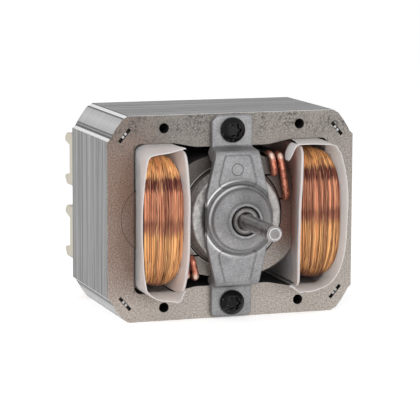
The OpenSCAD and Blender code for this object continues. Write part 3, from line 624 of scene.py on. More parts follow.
def sheet_finish(name, plain, oil):
    """White plastic that lets some light through, with faint creases darkened by painted shade, and a
    painted reflection of the copper below the top.

    oil is the colour of painted shade on the sides that face the rotor, inside the stack.
    """
    made = Finish(name)
    x, y, z = made.split(made.place)
    facing = made.split(made.normal)[0] * x.math("SIGN")
    cloud = made.noise(120, 4, 0.6)
    creases = made.drawn(60, 60, 900, 3, 0.7)
    shown = made.covered(plain, darker(plain, 0.82), cloud, 0.35, 0.7, 0.35)
    # Painted shade along the creases
    shown = made.covered(shown, darker(plain, 0.7), creases, 0.62, 0.74, 0.4)
    # Painted reflection: the copper tints the sheets below their top
    copper_bounce = made.ranged(cloud, 0.3, 0.7, 0.3, 0.9) * made.ranged(z, 24 * MM, 14 * MM)
    shown = made.mixed(copper_bounce, shown, SHEET_COPPER_REFLECTION, "MULTIPLY")
    # Painted shade on the sides that face the rotor
    rotor_side_shade = made.ranged(facing, -0.5, -0.8) * made.ranged(y, -8 * MM, -3 * MM)
    rotor_side_shade *= made.ranged(z, -17 * MM, -8 * MM)
    made.shade(
        Base_Color=made.mixed(rotor_side_shade, shown, oil, "MULTIPLY"),
        Roughness=0.42,
        Subsurface_Weight=0.8,
        Subsurface_Radius=(1.0, 0.85, 0.75),
        Subsurface_Scale=4 * MM,
    )
    made.bump(creases + cloud, 0.1 * MM, 0.6)
    return made.material


def casting_finish(name, plain, grain, depth, roughness, contrast, marks=(), bands=()):
    """Cast aluminium with a fine grain, pale edges that are partly wear and partly painted highlight, and
    dark corners that are painted shade.

    Each mark is the place and the radius of a ring that the casting tool left, in millimetres, and
    only a casting with marks has a hub. Each band is a radius in millimetres and how light the metal
    is there, as painted light and shade.
    """
    made = Finish(name)
    x, y, z = made.split(made.place)
    fine = made.noise(grain, 4, 0.8)
    cloud = made.noise(grain / 12, 3, 0.6)
    pores = made.noise(grain / 3, 2, 0.8)
    pale = lighter(plain, 0.4 * contrast)
    shown = made.covered(darker(plain, 1 - contrast), pale, fine, 0.28, 0.72)
    shown = made.covered(shown, darker(plain, 0.5), cloud, 0.42, 0.66, contrast)
    shown = made.covered(shown, darker(plain, 0.2), pores, 0.68, 0.74, 0.6)
    # Painted shade in the hollows, where the surface is concave
    shown = made.covered(shown, darker(plain, 0.08), made.edges, 0.49, 0.44, 0.7)
    # Pale convex edges, partly wear and partly painted highlight
    shown = made.covered(shown, lighter(plain, 0.75), made.edges, 0.6, 0.68, 0.6)
    if bands:
        shown = made.times(shown, made.banded(made.distance(x, z), bands))
    for mark_x, mark_z, mark_r in marks:
        radius = made.distance(x, z, mark_x, mark_z)
        ring = made.near(radius, mark_r * MM, 0.08 * MM, 0.22 * MM, 0.75)
        shown = made.mixed(ring, shown, darker(plain, 0.08))
    if marks:
        shown = hub_shine(made, shown, x, y, z)
    made.shade(Base_Color=shown, Metallic=0.4, Roughness=roughness)
    made.bump(fine + cloud, depth)
    return made.material


HUB_R = 13.3 * MM
# Painted light and shade on the hub at each radius in millimetres: collar, dome, dark groove, bright rim
HUB_SHADING = (
    (4.6, 0.55),
    (5.0, 0.95),
    (5.6, 0.55),
    (6.6, 0.72),
    (8.4, 0.95),
    (9.4, 1.0),
    (10.0, 0.85),
    (11.2, 0.62),
    (11.9, 0.12),
    (12.3, 0.25),
    (12.7, 1.0),
    (13.3, 0.6),
)


def hub_shine(made, shown, x, y, z):
    """Painted light and shade on the hub: rings of light and dark, a lower part made brighter as a
    painted reflection, and two arcs of painted highlight.
    """
    radius = made.distance(x, z)
    # Painted reflection: the lower part of the hub is made brighter
    low = made.grey(made.ranged(z, 9 * MM, -6 * MM, 0.9, 1.5))
    rings = made.times(made.banded(radius, HUB_SHADING), low)
    shone = made.times(shown, made.mixed(0.75, (1.0, 1.0, 1.0), rings))
    # Painted highlights: an arc along the rim on the left and one on the dome at the upper left
    rim = made.near(radius, 12.3 * MM, 0.1 * MM, 0.4 * MM, 0.8)
    shone = made.mixed(rim * made.ranged(x, 2 * MM, -7 * MM), shone, (0.9, 0.9, 0.9))
    dome = made.near(radius, 10.6 * MM, 0.1 * MM, 0.5 * MM, 0.6)
    shone = made.mixed(dome * made.ranged(z - x, 8 * MM, 13 * MM), shone, (0.8, 0.8, 0.8))
    on_hub = made.ranged(radius, HUB_R - 0.2 * MM, HUB_R, 1, 0) * made.ranged(y, -4 * MM, -5 * MM)
    return made.mixed(on_hub, shown, shone)


def turned_steel(name, plain, roughness, metallic, bands, groove=None):
    """Turned or ground metal with fine rings round the shaft axis.

    Each band is a radius in millimetres and how light the metal is there, as painted light and shade.
    groove is the place of a dark groove along the axis, painted as a line of shade, and metal that has
    one is drawn into streaks of painted reflection.
    """
    made = Finish(name)
    x, y, z = made.split(made.place)
    rings = made.drawn(40, 4200, 40, 3, 0.7)
    smears = made.noise(240, 3, 0.6)
    shown = made.covered(darker(plain, 0.72), plain, rings, 0.3, 0.7)
    shown = made.covered(shown, darker(plain, 0.3), smears, 0.5, 0.7, 0.7)
    shown = made.times(shown, made.banded(made.distance(x, z), bands))
    if groove is not None:
        # Painted reflections: light and dark streaks along the side of the shaft
        streaks = made.drawn(600, 22, 600, 2, 0.6)
        on_side = made.ranged(abs(made.split(made.normal)[1]), 0.2, 0.5, 0.7, 0)
        bright = on_side * made.ranged(streaks, 0.5, 0.64)
        dull = on_side * made.ranged(streaks, 0.48, 0.36)
        shown = made.mixed(bright, shown, lighter(plain, 0.9))
        shown = made.mixed(dull, shown, darker(plain, 0.12))
        # Painted shade: a dark line at the groove
        cut = made.near(y, groove, 0.12 * MM, 0.2 * MM, 0.9)
        shown = made.mixed(cut, shown, (0.01, 0.01, 0.01))
    made.shade(Base_Color=shown, Metallic=metallic, Roughness=roughness)
    made.bump(rings, 0.03 * MM)
    return made.material


def plain_finish(name, plain, roughness, metallic=0.0):
    """Moulded or plated surface with a slight grain."""
    made = Finish(name)
    speckle = made.noise(1500, 3, 0.6)
    shown = made.covered(darker(plain, 0.85), plain, speckle, 0.3, 0.7)
    made.shade(Base_Color=shown, Roughness=roughness, Metallic=metallic)
    made.bump(speckle, 0.03 * MM)
    return made.material


def screw_finish():
    """Black passivated steel, with painted highlights along the edges of the recess."""
    made = Finish("black_steel")
    # Painted highlights along the edges of the recess
    recess_glints = made.ranged(made.edges, 0.54, 0.64) * made.ranged(made.noise(900), 0.4, 0.6)
    shown = made.mixed(recess_glints * 0.8, tint("screw"), paint(150, 150, 150))
    made.shade(Base_Color=shown, Roughness=0.3, Specular_IOR_Level=0.16)
    made.bump(made.noise(2400), 0.03 * MM)
    return made.material


def felt_finish():
    """Coarse felt that is soaked with oil."""
    made = Finish("oil_felt")
    fibre = made.noise(2600, 4, 0.8)
    shown = made.mixed(fibre, paint(120, 104, 70), paint(206, 196, 160))
    made.shade(Base_Color=shown, Roughness=0.95)
    made.bump(fibre, 0.2 * MM)
    return made.material


def wear(node, material):
    """Puts a finish on a CAD node."""
    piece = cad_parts[node]
    piece.data.materials.clear()
    piece.data.materials.append(material)
    return piece


def new_piece(name, mesh, material):
    """Puts a mesh into the scene under its name and with its finish."""
    piece = bpy.data.objects.new(name, mesh)
    bpy.context.scene.collection.objects.link(piece)
    mesh.materials.clear()
    mesh.materials.append(material)
    return piece


def applied(piece):
    """Swaps a piece's mesh for the one that its modifiers make."""
    graph = bpy.context.evaluated_depsgraph_get()
    graph.update()
    made = bpy.data.meshes.new_from_object(piece.evaluated_get(graph), depsgraph=graph)
    piece.modifiers.clear()
    piece.data = made
    return piece


def piece_from(name, shape, material):
    """Turns what bmesh has built into a new piece."""
    mesh = bpy.data.meshes.new(name)
    shape.to_mesh(mesh)
    shape.free()
    return new_piece(name, mesh, material)


def copy_of(name, node, material):
    """Closed copy of a CAD node's mesh, to be worked on as a new piece."""
    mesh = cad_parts[node].data.copy()
    shape = bmesh.new()
    shape.from_mesh(mesh)
    bmesh.ops.remove_doubles(shape, verts=shape.verts, dist=0.001 * MM)
    shape.to_mesh(mesh)
    shape.free()
    return new_piece(name, mesh, material)


def finished(piece, body, slot, *nodes):
    """Hands a piece over to its body and hides the nodes that it stands for."""
    for polygon in piece.data.polygons:
        polygon.use_smooth = True
    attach(piece, body)
    if nodes:
        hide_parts(*nodes)
    return piece


def grid_sheet(name, rows, columns, place, skip, material):
    """Sheet with a point from place at each row and column, without the faces that skip names."""
    shape = bmesh.new()
    points = [[shape.verts.new(place(row, column)) for column in columns] for row in rows]
    for i in range(len(rows) - 1):
        for j in range(len(columns) - 1):
            if skip(rows[i], rows[i + 1], columns[j], columns[j + 1]):
                continue
            corners = (points[i][j], points[i + 1][j], points[i + 1][j + 1], points[i][j + 1])
            shape.faces.new(corners)
    bmesh.ops.delete(shape, geom=[v for v in shape.verts if not v.link_faces], context="VERTS")
    return piece_from(name, shape, material)


def steps(low, high, count):
    """Numbers at equal steps from low to high."""
    return [low + (high - low) * i / count for i in range(count + 1)]


def ease(t):
    """Smooth step from 0 to 1."""
    t = max(0.0, min(1.0, t))
    return t * t * (3 - 2 * t)


# The opening of films and flanges round the neck of a pole
NECK_HALF = 9.35 * MM
NECK_FRONT = -0.25 * MM
NECK_BACK = STACK_BACK - NECK_FRONT


def depth_steps():
    """Places along the stack, as -1 to 0 in front of it, 0 to 1 inside it and 1 to 2 behind it."""
    return steps(-1, 0, 12) + steps(0, 1, 4)[1:] + steps(1, 2, 12)[1:]


def depth_at(share, reach):
    """Depth of a place along the stack, on a sheet that stands out of both faces by reach."""
    if share < 0:
        return NECK_FRONT + share * (reach + NECK_FRONT)
    if share > 1:
        return NECK_BACK + (share - 1) * (reach + NECK_FRONT)
    return NECK_FRONT + share * (NECK_BACK - NECK_FRONT)


def outside(share):
    """How far out of the stack a place is, from 0 at its face to 1 at the sheet's edge."""
    return max(0.0, -share, share - 1)


def wrinkle(point, size, seed):
    """Smooth, repeatable unevenness at a point."""
    return noise.noise(Vector(point) / size + Vector((seed, 0, 0)))


class MOTOR_OT_laminations(bpy.types.Operator):
    """Finish the yoke, the poles and the rotor core as punched laminations."""

    bl_idname = "motor.laminations"
    bl_label = "Laminations"

    def execute(self, context):
        wear("yoke_stack", lamination_finish("yoke_steel", seams=True))
        steel = lamination_finish("pole_steel")
        wear("pole_stack", steel)
        wear("rotor_core", steel)
        return {"FINISHED"}


# How square a winding is seen from the side, from 1 for an ellipse down to 0 for a box
FULLNESS = 0.72
LOOP_STEPS = 14


def quarter_loop():
    """Angles from the bottom to the top of one half of a turn."""
    return [math.radians(90 * k / LOOP_STEPS) for k in range(-LOOP_STEPS, LOOP_STEPS + 1)]


def winding_loop(settings):
    """One turn of wire seen from the side: it bulges out of both faces of the stack."""
    middle = STACK_BACK / 2
    points = []
    for face in (-1, 1):
        for angle in quarter_loop():
            out = settings.reach * math.cos(angle) ** FULLNESS
            up = math.copysign(settings.half_height * abs(math.sin(angle)) ** FULLNESS, -face * angle)
            points.append((0, middle + face * (middle + out), up))
    curve = bpy.data.curves.new("winding_loop", "CURVE")
    curve.dimensions = "3D"
    spline = curve.splines.new("POLY")
    spline.points.add(len(points) - 1)
    for point, place in zip(spline.points, points):
        point.co = (*place, 1)
    spline.use_cyclic_u = True
    loop = bpy.data.objects.new("winding_loop", curve)
    bpy.context.scene.collection.objects.link(loop)
    return loop


class Tree(Nodes):
    """A Geometry Nodes tree with named inputs."""

    def __init__(self, name):
        super().__init__(bpy.data.node_groups.new(name, "GeometryNodeTree"))
        kind = "NodeSocketGeometry"
        self.tree.interface.new_socket("Geometry", in_out="OUTPUT", socket_type=kind)
        self.sockets = {}
        self.inputs = self.tree.nodes.new("NodeGroupInput")

    def input(self, name, kind):
        """Adds a named input and gives its value."""
        socket = self.tree.interface.new_socket(name, in_out="INPUT", socket_type=kind)
        self.sockets[name] = socket.identifier
        return self.size(name)

    def size(self, name):
        return Value(self, self.inputs.outputs[name])

    def finish(self, geometry, material):
        realized = self.value("GeometryNodeRealizeInstances", {0: geometry})
        coated = self.value("GeometryNodeSetMaterial", {0: realized, "Material": material})
        self.add("NodeGroupOutput", {0: coated})


def winding_tree(material):
    """Turns of wire side by side in layers, domed between the flanges and fanned at both ends."""
    made = Tree("winding")
    loop = made.input("Loop", "NodeSocketObject")
    turns = made.input("Turns", "NodeSocketInt")
    layers = made.input("Layers", "NodeSocketInt")
    seed = made.input("Seed", "NodeSocketInt")
    for name in WINDING_SIZES:
        made.input(name, "NodeSocketFloat")
    points = made.value("GeometryNodePoints", {"Count": turns * layers})
    index = made.value("GeometryNodeInputIndex")
    layer = (index / turns).math("FLOOR")
    drawn = {"ID": index, "Seed": seed}
    column = index.math("MODULO", turns) + made.value("FunctionNodeRandomValue", drawn, 1)
    across = column * 2.0 / turns - 1.0
    source = {"Object": loop}
    turn = made.value("GeometryNodeObjectInfo", source, "Geometry", transform_space="ORIGINAL")
    turned = made.value("GeometryNodeInstanceOnPoints", {"Points": points, "Instance": turn})
    tone = made.value("FunctionNodeRandomValue", {"Seed": seed + 7}, 1)
    for name, share in (("strand", tone), ("level", layer), ("across", across)):
        mark = {"Geometry": turned, "Name": name, "Value": share}
        turned = made.value(
            "GeometryNodeStoreNamedAttribute", mark, data_type="FLOAT", domain="INSTANCE"
        )
    wires = made.value("GeometryNodeRealizeInstances", {0: turned})
    shaped = made.value("GeometryNodeSetPosition", {0: wires, "Position": strand_place(made)})
    round_wire = {"Resolution": 6, "Radius": made.size("Wire") / 2.0}
    profile = made.value("GeometryNodeCurvePrimitiveCircle", round_wire)
    made.finish(made.value("GeometryNodeCurveToMesh", {0: shaped, 1: profile}), material)
    return made


# Inputs of the winding's tree and the settings that they are taken from
WINDING_SIZES = {
    "Wire": "wire_d",
    "Reach": "reach",
    "Half height": "half_height",
    "Inner seat": "seat_inner",
    "Outer seat": "seat_outer",
    "Inner bulge": "bulge_inner",
    "Outer bulge": "bulge_outer",
    "Stray": "stray",
}
# How much lower the sides of a winding are than its middle, and how much narrower its ends are
SIDE_DROP = 0.2
END_DRAW = 0.3


def strand_place(made):
    """Place of a point of wire, from its share across the winding, its layer and its straying."""
    _, y, z = made.split(made.value("GeometryNodeInputPosition"))
    strand, layer, across = (
        made.value("GeometryNodeInputNamedAttribute", {"Name": name}, data_type="FLOAT")
        for name in ("strand", "level", "across")
    )
    middle = STACK_BACK / 2
    from_middle = y - middle
    depth = abs(from_middle)
    out = (depth - middle).math("MAXIMUM", 0.0)
    open_share = (out / made.size("Reach")).math("SMOOTH_MIN", 1.0, 0.1)
    inner_seat, outer_seat = made.size("Inner seat"), made.size("Outer seat")
    inner = inner_seat + open_share * (made.size("Inner bulge") - inner_seat)
    outer = outer_seat + open_share * (made.size("Outer bulge") - outer_seat)
    high = abs(z) / made.size("Half height")
    half_width = (outer - inner) / 2.0 * (1.0 - high**4.0 * END_DRAW)
    seat = made.value("ShaderNodeCombineXYZ", {0: strand * 40.0, 1: layer, 2: z * 100.0})
    wave = made.value("ShaderNodeTexNoise", {"Vector": seat, "Scale": 1.0, "Detail": 1.0})
    square = across * across
    sway = (wave - 0.5) * made.size("Stray") * (2.0 - square * 1.8)
    new_x = (outer + inner) / 2.0 + across * half_width + sway
    sunk = (layer + strand) * (made.size("Wire") * 0.6)
    reached = out * (1.0 - square * SIDE_DROP) - sunk
    new_depth = depth.math("MINIMUM", middle) + reached
    new_y = new_depth * from_middle.math("SIGN") + middle
    shrink = 1.0 - square * (SIDE_DROP / 4) - sunk / made.size("Half height")
    return made.value("ShaderNodeCombineXYZ", {0: new_x, 1: new_y, 2: z * shrink})


def winding_core(name, settings, side, bulge, material):
    """Closed body of copper under the strands."""
    middle = STACK_BACK / 2
    under = 0.75 * MM
    shape = bmesh.new()
    rings = []
    for across in steps(-0.97, 0.97, 10):
        ring = []
        for face in (-1, 1):
            for angle in quarter_loop():
                out = (settings.reach - under) * math.cos(angle) ** FULLNESS
                high = abs(math.sin(angle)) ** FULLNESS
                share = out / settings.reach
                inner = settings.seat_inner + share * (bulge[0] - settings.seat_inner)
                outer = settings.seat_outer + share * (bulge[1] - settings.seat_outer)
                half_width = (outer - inner) / 2 * (1 - END_DRAW * high**4)
                x = (outer + inner) / 2 + across * half_width
                out *= 1 - SIDE_DROP * across**2
                up = (settings.half_height - under) * high * (1 - SIDE_DROP / 4 * across**2)
                place = (side * x, middle + face * (middle + out), math.copysign(up, -face * angle))
                ring.append(shape.verts.new(place))
        rings.append(ring)
    count = len(rings[0])
    for a, b in zip(rings, rings[1:]):
        for k in range(count):
            shape.faces.new((a[k], a[(k + 1) % count], b[(k + 1) % count], b[k]))
    shape.faces.new(rings[0])
    shape.faces.new(rings[-1])
    bmesh.ops.remove_doubles(shape, verts=shape.verts, dist=0.01 * MM)
    bmesh.ops.recalc_face_normals(shape, faces=shape.faces)
    return piece_from(name, shape, material)


class MOTOR_OT_windings(bpy.types.Operator):
    """Lay the copper windings on their bobbins, strand by strand."""

    bl_idname = "motor.windings"
    bl_label = "Windings"

    def execute(self, context):
        settings = context.scene.motor.winding
        copper = winding_finish()
        loop = winding_loop(settings)
        tree = winding_tree(copper)
        for name, side, seed in (("left", -1, 3), ("right", 1, 5)):
            wires = new_piece(f"winding_{name}", bpy.data.meshes.new(f"winding_{name}"), copper)
            layer = wires.modifiers.new("winding", "NODES")
            layer.node_group = tree.tree
            values = {"Loop": loop, "Turns": settings.turns, "Layers": settings.layers, "Seed": seed}
            for key, value in WINDING_SIZES.items():
                values[key] = getattr(settings, value)
            if side > 0:
                values["Inner bulge"] = settings.right_inner
                values["Outer bulge"] = settings.right_outer
            for key, value in values.items():
                layer[tree.sockets[key]] = value
            applied(wires)
            if side < 0:
                wires.data.transform(Matrix.Scale(-1, 4, (1, 0, 0)))
                wires.data.flip_normals()
            bulge = values["Inner bulge"], values["Outer bulge"]
            core = winding_core(f"winding_core_{name}", settings, side, bulge, copper)
            finished(core, "stator", "enamelled_copper")
            finished(wires, "stator", "enamelled_copper", f"coil_{name}")
        bpy.data.objects.remove(loop)
        return {"FINISHED"}


# How far a flange bends behind the stack
REAR_BEND = 2.2 * MM
# How far the inner and the outer flanges are from the shaft axis, and half of their height
INNER_X, OUTER_X = 21.2 * MM, 31.9 * MM
INNER_HALF, OUTER_HALF = 22.9 * MM, 19.5 * MM


def flange_sheet(settings, side, at_x, lean, bow, tilt, half, reach, material, seed):
    """Flange of a bobbin: a plate round the neck, whose free edges bend away from the winding.

    lean is how far the edge bends away from the rotor in front of the stack, and towards it where
    lean is negative. bow is how much less it bends near the corners. tilt is how much further its
    upper end leans away from the rotor, and its lower end towards it.
    """
    corner = 2.4 * MM
    sag = 1.6 * MM
    top_rows = steps(half, half - corner, 7) + steps(half - corner, NECK_HALF, 6)[1:]
    rows = top_rows + steps(NECK_HALF, -NECK_HALF, 8)[1:-1] + [-z for z in reversed(top_rows)]

    def reach_at(z):
        into = max(0.0, abs(z) - (half - corner))
        cut = corner - math.sqrt(max(0.0, corner**2 - into**2))
        return reach - sag * (z / half) ** 4 - cut

    def place(z, share):
        y = depth_at(share, reach_at(z))
        free = outside(share)
        bend = lean if share < 0.5 else math.copysign(REAR_BEND, lean)
        bend *= free**1.4 * (1 - bow * (z / half) ** 2)
        bend += settings.wave * free * wrinkle((0, y, z), 9 * MM, seed)
        if share < 0:
            bend += tilt * free * z / half
        return Vector((side * (at_x + bend), y, z))

    def skip(z_a, z_b, share_a, share_b):
        return max(abs(z_a), abs(z_b)) <= NECK_HALF + 1e-7 and share_a >= 0 and share_b <= 1

    sheet = grid_sheet("flange", rows, depth_steps(), place, skip, material)
    return thicken(sheet, settings.flange_t, 0.2 * MM)


def thicken(piece, thickness, round_by):
    """Gives a sheet its wall and rounds its edges."""
    solid = piece.modifiers.new("wall", "SOLIDIFY")
    solid.thickness = thickness
    solid.offset = 0
    soft = piece.modifiers.new("edge", "BEVEL")
    soft.width = round_by
    soft.segments = 2
    soft.limit_method = "ANGLE"
    soft.angle_limit = math.radians(50)
    return applied(piece)


def join(name, pieces):
    """Makes one mesh of several pieces."""
    shape = bmesh.new()
    for piece in pieces:
        shape.from_mesh(piece.data)
    mesh = pieces[0].data
    shape.to_mesh(mesh)
    shape.free()
    for piece in pieces[1:]:
        bpy.data.objects.remove(piece)
    pieces[0].name = name
    return pieces[0]


def neck_tube(name, side, inner_x, outer_x, material):
    """Tube of a bobbin, a box of thin walls round the neck of the pole."""
    wall = 1.0 * MM
    shape = bmesh.new()
    rings = []
    for x in (inner_x, outer_x):
        for grow in (0, wall):
            y = (NECK_FRONT - grow, NECK_BACK + grow)
            z = NECK_HALF + grow
            corners = [(y[0], -z), (y[1], -z), (y[1], z), (y[0], z)]
            rings.append([shape.verts.new((side * x, *corner)) for corner in corners])
    inner_near, outer_near, inner_far, outer_far = rings
    walls = (
        (inner_near, inner_far),
        (outer_near, outer_far),
        (inner_near, outer_near),
        (inner_far, outer_far),
    )
    for a, b in walls:
        for k in range(4):
            shape.faces.new((a[k], a[(k + 1) % 4], b[(k + 1) % 4], b[k]))
    bmesh.ops.recalc_face_normals(shape, faces=shape.faces)
    return piece_from(name, shape, material)


class MOTOR_OT_bobbins(bpy.types.Operator):
    """Mould the two bobbins, whose flanges bend away from the windings."""

    bl_idname = "motor.bobbins"
    bl_label = "Bobbins"

    def execute(self, context):
        settings = context.scene.motor.sheets
        # The last colour is painted shade on the sides that face the rotor
        plastic = sheet_finish("bobbin_nylon", tint("flange"), (0.7, 0.42, 0.36))
        kinds = (
            ("left", -1, -2.8 * MM, 0.5, -0.3 * MM, 1.0),
            ("right", 1, -2.2 * MM, 0.25, 0.6 * MM, 2.0),
        )
        for name, side, lean, bow, tilt, seed in kinds:
            bend, size = (lean, bow, tilt), (INNER_HALF, settings.flange_reach)
            inner = flange_sheet(settings, side, INNER_X, *bend, *size, plastic, seed)
            bend, size = (0.3 * MM, 0, 0), (OUTER_HALF, settings.outer_reach)
            outer = flange_sheet(settings, side, OUTER_X, *bend, *size, plastic, seed + 5)
            tube = neck_tube("tube", side, INNER_X, OUTER_X, plastic)
            bobbin = join(f"bobbin_shell_{name}", [inner, outer, tube])
            finished(bobbin, "stator", "white_nylon", f"bobbin_{name}")
        return {"FINISHED"}


# Section of a film inside the stack, from its upper inner end round the coil to its lower one
FILM_HOME = (
    (20.6, 24.0),
    (25.6, 24.0),
    (29.6, 23.95),
    (31.7, 22.9),
    (32.5, 20.6),
    (32.5, 9.35),
    (32.5, -9.35),
    (32.5, -19.8),
    (31.7, -22.4),
    (29.4, -23.85),
    (25.6, -24.0),
    (21.6, -24.0),
    (20.6, -24.0),
)
# The same section at the front edge of each film, where the two films are bent by hand
LEFT_EDGE = (
    (19.9, 23.9),
    (25.2, 22.8),
    (30.2, 22.1),
    (31.8, 21.2),
    (32.5, 18.9),
    (34.0, 8.5),
    (34.0, -9.0),
    (33.0, -19.3),
    (31.9, -22.0),
    (28.6, -24.2),
    (24.4, -24.9),
    (21.9, -24.9),
    (19.9, -21.6),
)
RIGHT_EDGE = (
    (18.1, 23.9),
    (24.0, 23.8),
    (30.3, 23.3),
    (32.2, 21.6),
    (33.5, 18.9),
    (35.4, 9.0),
    (35.0, -9.0),
    (33.3, -16.6),
    (31.2, -20.2),
    (28.4, -22.6),
    (23.5, -24.2),
    (18.8, -24.2),
    (15.6, -21.7),
)
# The films are open for the neck of the pole between these two corners of their section
NECK_ROWS = (5, 6)
ROWS_BETWEEN = 6
# How much of the front edge's bend the rear edge has
REAR_FLARE = 0.9


def along_section(points, row):
    """Point at a row of a section, on a smooth line through its corners."""
    last = len(points) - 1
    k = min(int(row), last - 1)
    t = row - k
    a, b, c, d = (Vector(points[max(0, min(last, k + i))]) for i in (-1, 0, 1, 2))
    smooth = 2 * b + (c - a) * t + (2 * a - 5 * b + 4 * c - d) * t**2 + (3 * b - a - 3 * c + d) * t**3
    return smooth * MM / 2


def film_sheet(side, edge, settings, seed, crumple, material):
    """Film of one coil, open at the neck of the pole and flared towards its free edges."""
    last = len(edge) - 1
    rows = steps(0, last, last * ROWS_BETWEEN)

    def place(row, share):
        free = outside(share)
        flare = free**1.3 * (1 if share < 0.5 else REAR_FLARE)
        home = along_section(FILM_HOME, row)
        x, z = home.lerp(along_section(edge, row), flare)
        y = depth_at(share, settings.film_reach)
        x += settings.wave * free * wrinkle((x, y, z), 7 * MM, seed)
        z += settings.wave * free * wrinkle((x, y, z), 6 * MM, seed + 9)
        loose = crumple * free * ease(row - (last - 2))
        x += loose * wrinkle((x, y, z), 2.2 * MM, seed + 3)
        z += loose * wrinkle((x, y, z), 2.0 * MM, seed + 4)
        return Vector((side * x, y, z))

    def skip(row_a, row_b, share_a, share_b):
        in_neck = row_a >= NECK_ROWS[0] - 1e-6 and row_b <= NECK_ROWS[1] + 1e-6
        return in_neck and share_a >= 0 and share_b <= 1

    sheet = grid_sheet("film", rows, depth_steps(), place, skip, material)
    return thicken(sheet, settings.film_t, 0.08 * MM)


def curled_tab(settings, material):
    """Loose corner of the right film, which hangs down beside the bobbin."""

    def place(down, across):
        x = 18.5 - 3.0 * down**0.6 + 0.4 * max(0.0, down - 0.7)
        z = 23.7 - 5.2 * down**1.2
        narrow = 1 - 2.0 * max(0.0, down - 0.6) ** 1.5
        y = -9.0 + 3.1 * narrow * across
        return Vector((x, y, z)) * MM

    tab = grid_sheet("tab", steps(0, 1, 12), steps(-1, 1, 6), place, lambda *edges: False, material)
    return thicken(tab, settings.film_t, 0.08 * MM)


class MOTOR_OT_films(bpy.types.Operator):
    """Bend the insulating films round the coils."""

    bl_idname = "motor.films"
    bl_label = "Films"

    def execute(self, context):
        settings = context.scene.motor.sheets
        # The last colour is painted shade on the sides that face the rotor
        sheet = sheet_finish("insulating_film", tint("film"), (0.9, 0.85, 0.82))
        left = film_sheet(-1, LEFT_EDGE, settings, 3.0, 0.3 * MM, sheet)
        right = film_sheet(1, RIGHT_EDGE, settings, 4.0, 1.0 * MM, sheet)
        left = join("film_sheet_left", [left])
        right = join("film_sheet_right", [right, curled_tab(settings, sheet)])
        finished(left, "stator", "insulating_film", "film_left")
        finished(right, "stator", "insulating_film", "film_right")
        return {"FINISHED"}


class MOTOR_OT_shading_rings(bpy.types.Operator):
    """Finish the four shading rings as bare copper wire."""

    bl_idname = "motor.shading_rings"
    bl_label = "Shading Rings"

    def execute(self, context):
        copper = bare_copper(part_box("long_ring_right")[1].z)
        for node in ("short_ring_right", "long_ring_right", "short_ring_left", "long_ring_left"):
            wear(node, copper)
        return {"FINISHED"}


def softened(name, node, grain, rounds, material):
    """Copy of a node with the small blends that its casting has along every edge."""
    piece = copy_of(name, node, material)
    remesh = piece.modifiers.new("grain", "REMESH")
    remesh.mode = "VOXEL"
    remesh.voxel_size = grain
    smooth = piece.modifiers.new("rounds", "SMOOTH")
    smooth.factor = 0.5
    smooth.iterations = rounds
    return applied(piece)


class MOTOR_OT_brackets(bpy.types.Operator):
    """Cast the two bearing brackets with their soft edges."""

    bl_idname = "motor.brackets"
    bl_label = "Brackets"

    def execute(self, context):
        settings = context.scene.motor.casting
        mark = ((-0.8, 15.9, 1.9),)
        plain = tint("casting")
        alloy = casting_finish("bracket_casting", plain, 1900, 0.08 * MM, 0.4, 0.4, mark)
        for name, grain in (("front", settings.front_grain), ("rear", settings.rear_grain)):
            bracket = softened(f"{name}_casting", f"{name}_bracket", grain, settings.rounds, alloy)
            finished(bracket, "stator", "bracket_casting", f"{name}_bracket")
        return {"FINISHED"}


# Painted light and shade on the face of a bush at each radius in millimetres: dark bore, two bright rings
# of painted highlight, and the gap round the bush as painted shade
BUSH_SHADING = (
    (2.5, 0.2),
    (2.7, 0.9),
    (3.1, 0.35),
    (3.4, 1.0),
    (3.7, 0.45),
    (4.1, 0.3),
    (4.2, 0.02),
    (5.5, 0.02),
)


class MOTOR_OT_bearings(bpy.types.Operator):
    """Finish the bushes, felts and clips."""

    bl_idname = "motor.bearings"
    bl_label = "Bearings"

    def execute(self, context):
        bronze = turned_steel("sintered_bush", tint("bush"), 0.35, 0.6, BUSH_SHADING)
        felt = felt_finish()
        spring = plain_finish("spring_steel", paint(176, 178, 180), 0.3, 0.9)
        for end in ("front", "rear"):
            wear(f"{end}_bush", bronze)
            wear(f"{end}_felt", felt)
            wear(f"{end}_clip", spring)
        return {"FINISHED"}


class MOTOR_OT_rotor(bpy.types.Operator):
    """Finish the cage, the shaft and the small parts on it."""

    bl_idname = "motor.rotor"
    bl_label = "Rotor"

    def execute(self, context):
        rim = (BORE_R - AIR_GAP) / MM
        # Painted shade inside the end ring of the cage, lighter towards its rim
        bands = ((0, 0.1), (rim - 5.0, 0.12), (rim - 4.1, 0.8), (rim - 0.6, 1.0), (rim, 0.8))
        plain = tint("cage")
        cage = casting_finish("rotor_aluminium", plain, 700, 0.4 * MM, 0.35, 0.7, bands=bands)
        wear("rotor_cage", cage)
        # Painted light and shade on the tip of the shaft: a dim face and a bright rim of painted
        # highlight
        tip_shading = ((0, 0.35), (1.5, 0.42), (1.75, 1.0), (2.1, 0.55), (2.5, 1.0))
        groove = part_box("shaft")[0].y + 1.6 * MM
        wear("shaft", turned_steel("shaft_steel", tint("shaft"), 0.25, 0.9, tip_shading, groove))
        nylon = plain_finish("natural_nylon", paint(226, 218, 196), 0.5)
        fibre = plain_finish("brown_fibre", paint(104, 80, 58), 0.7)
        for end in ("front", "rear"):
            wear(f"{end}_spacer", nylon)
            wear(f"{end}_washer", fibre)
        return {"FINISHED"}


class MOTOR_OT_screws(bpy.types.Operator):
    """Round the heads of the two bracket screws and blacken them."""

    bl_idname = "motor.screws"
    bl_label = "Screws"

    def execute(self, context):
        screws = softened("black_screws", "bracket_screws", 0.16 * MM, 2, screw_finish())
        finished(screws, "stator", "black_screw", "bracket_screws")
        return {"FINISHED"}


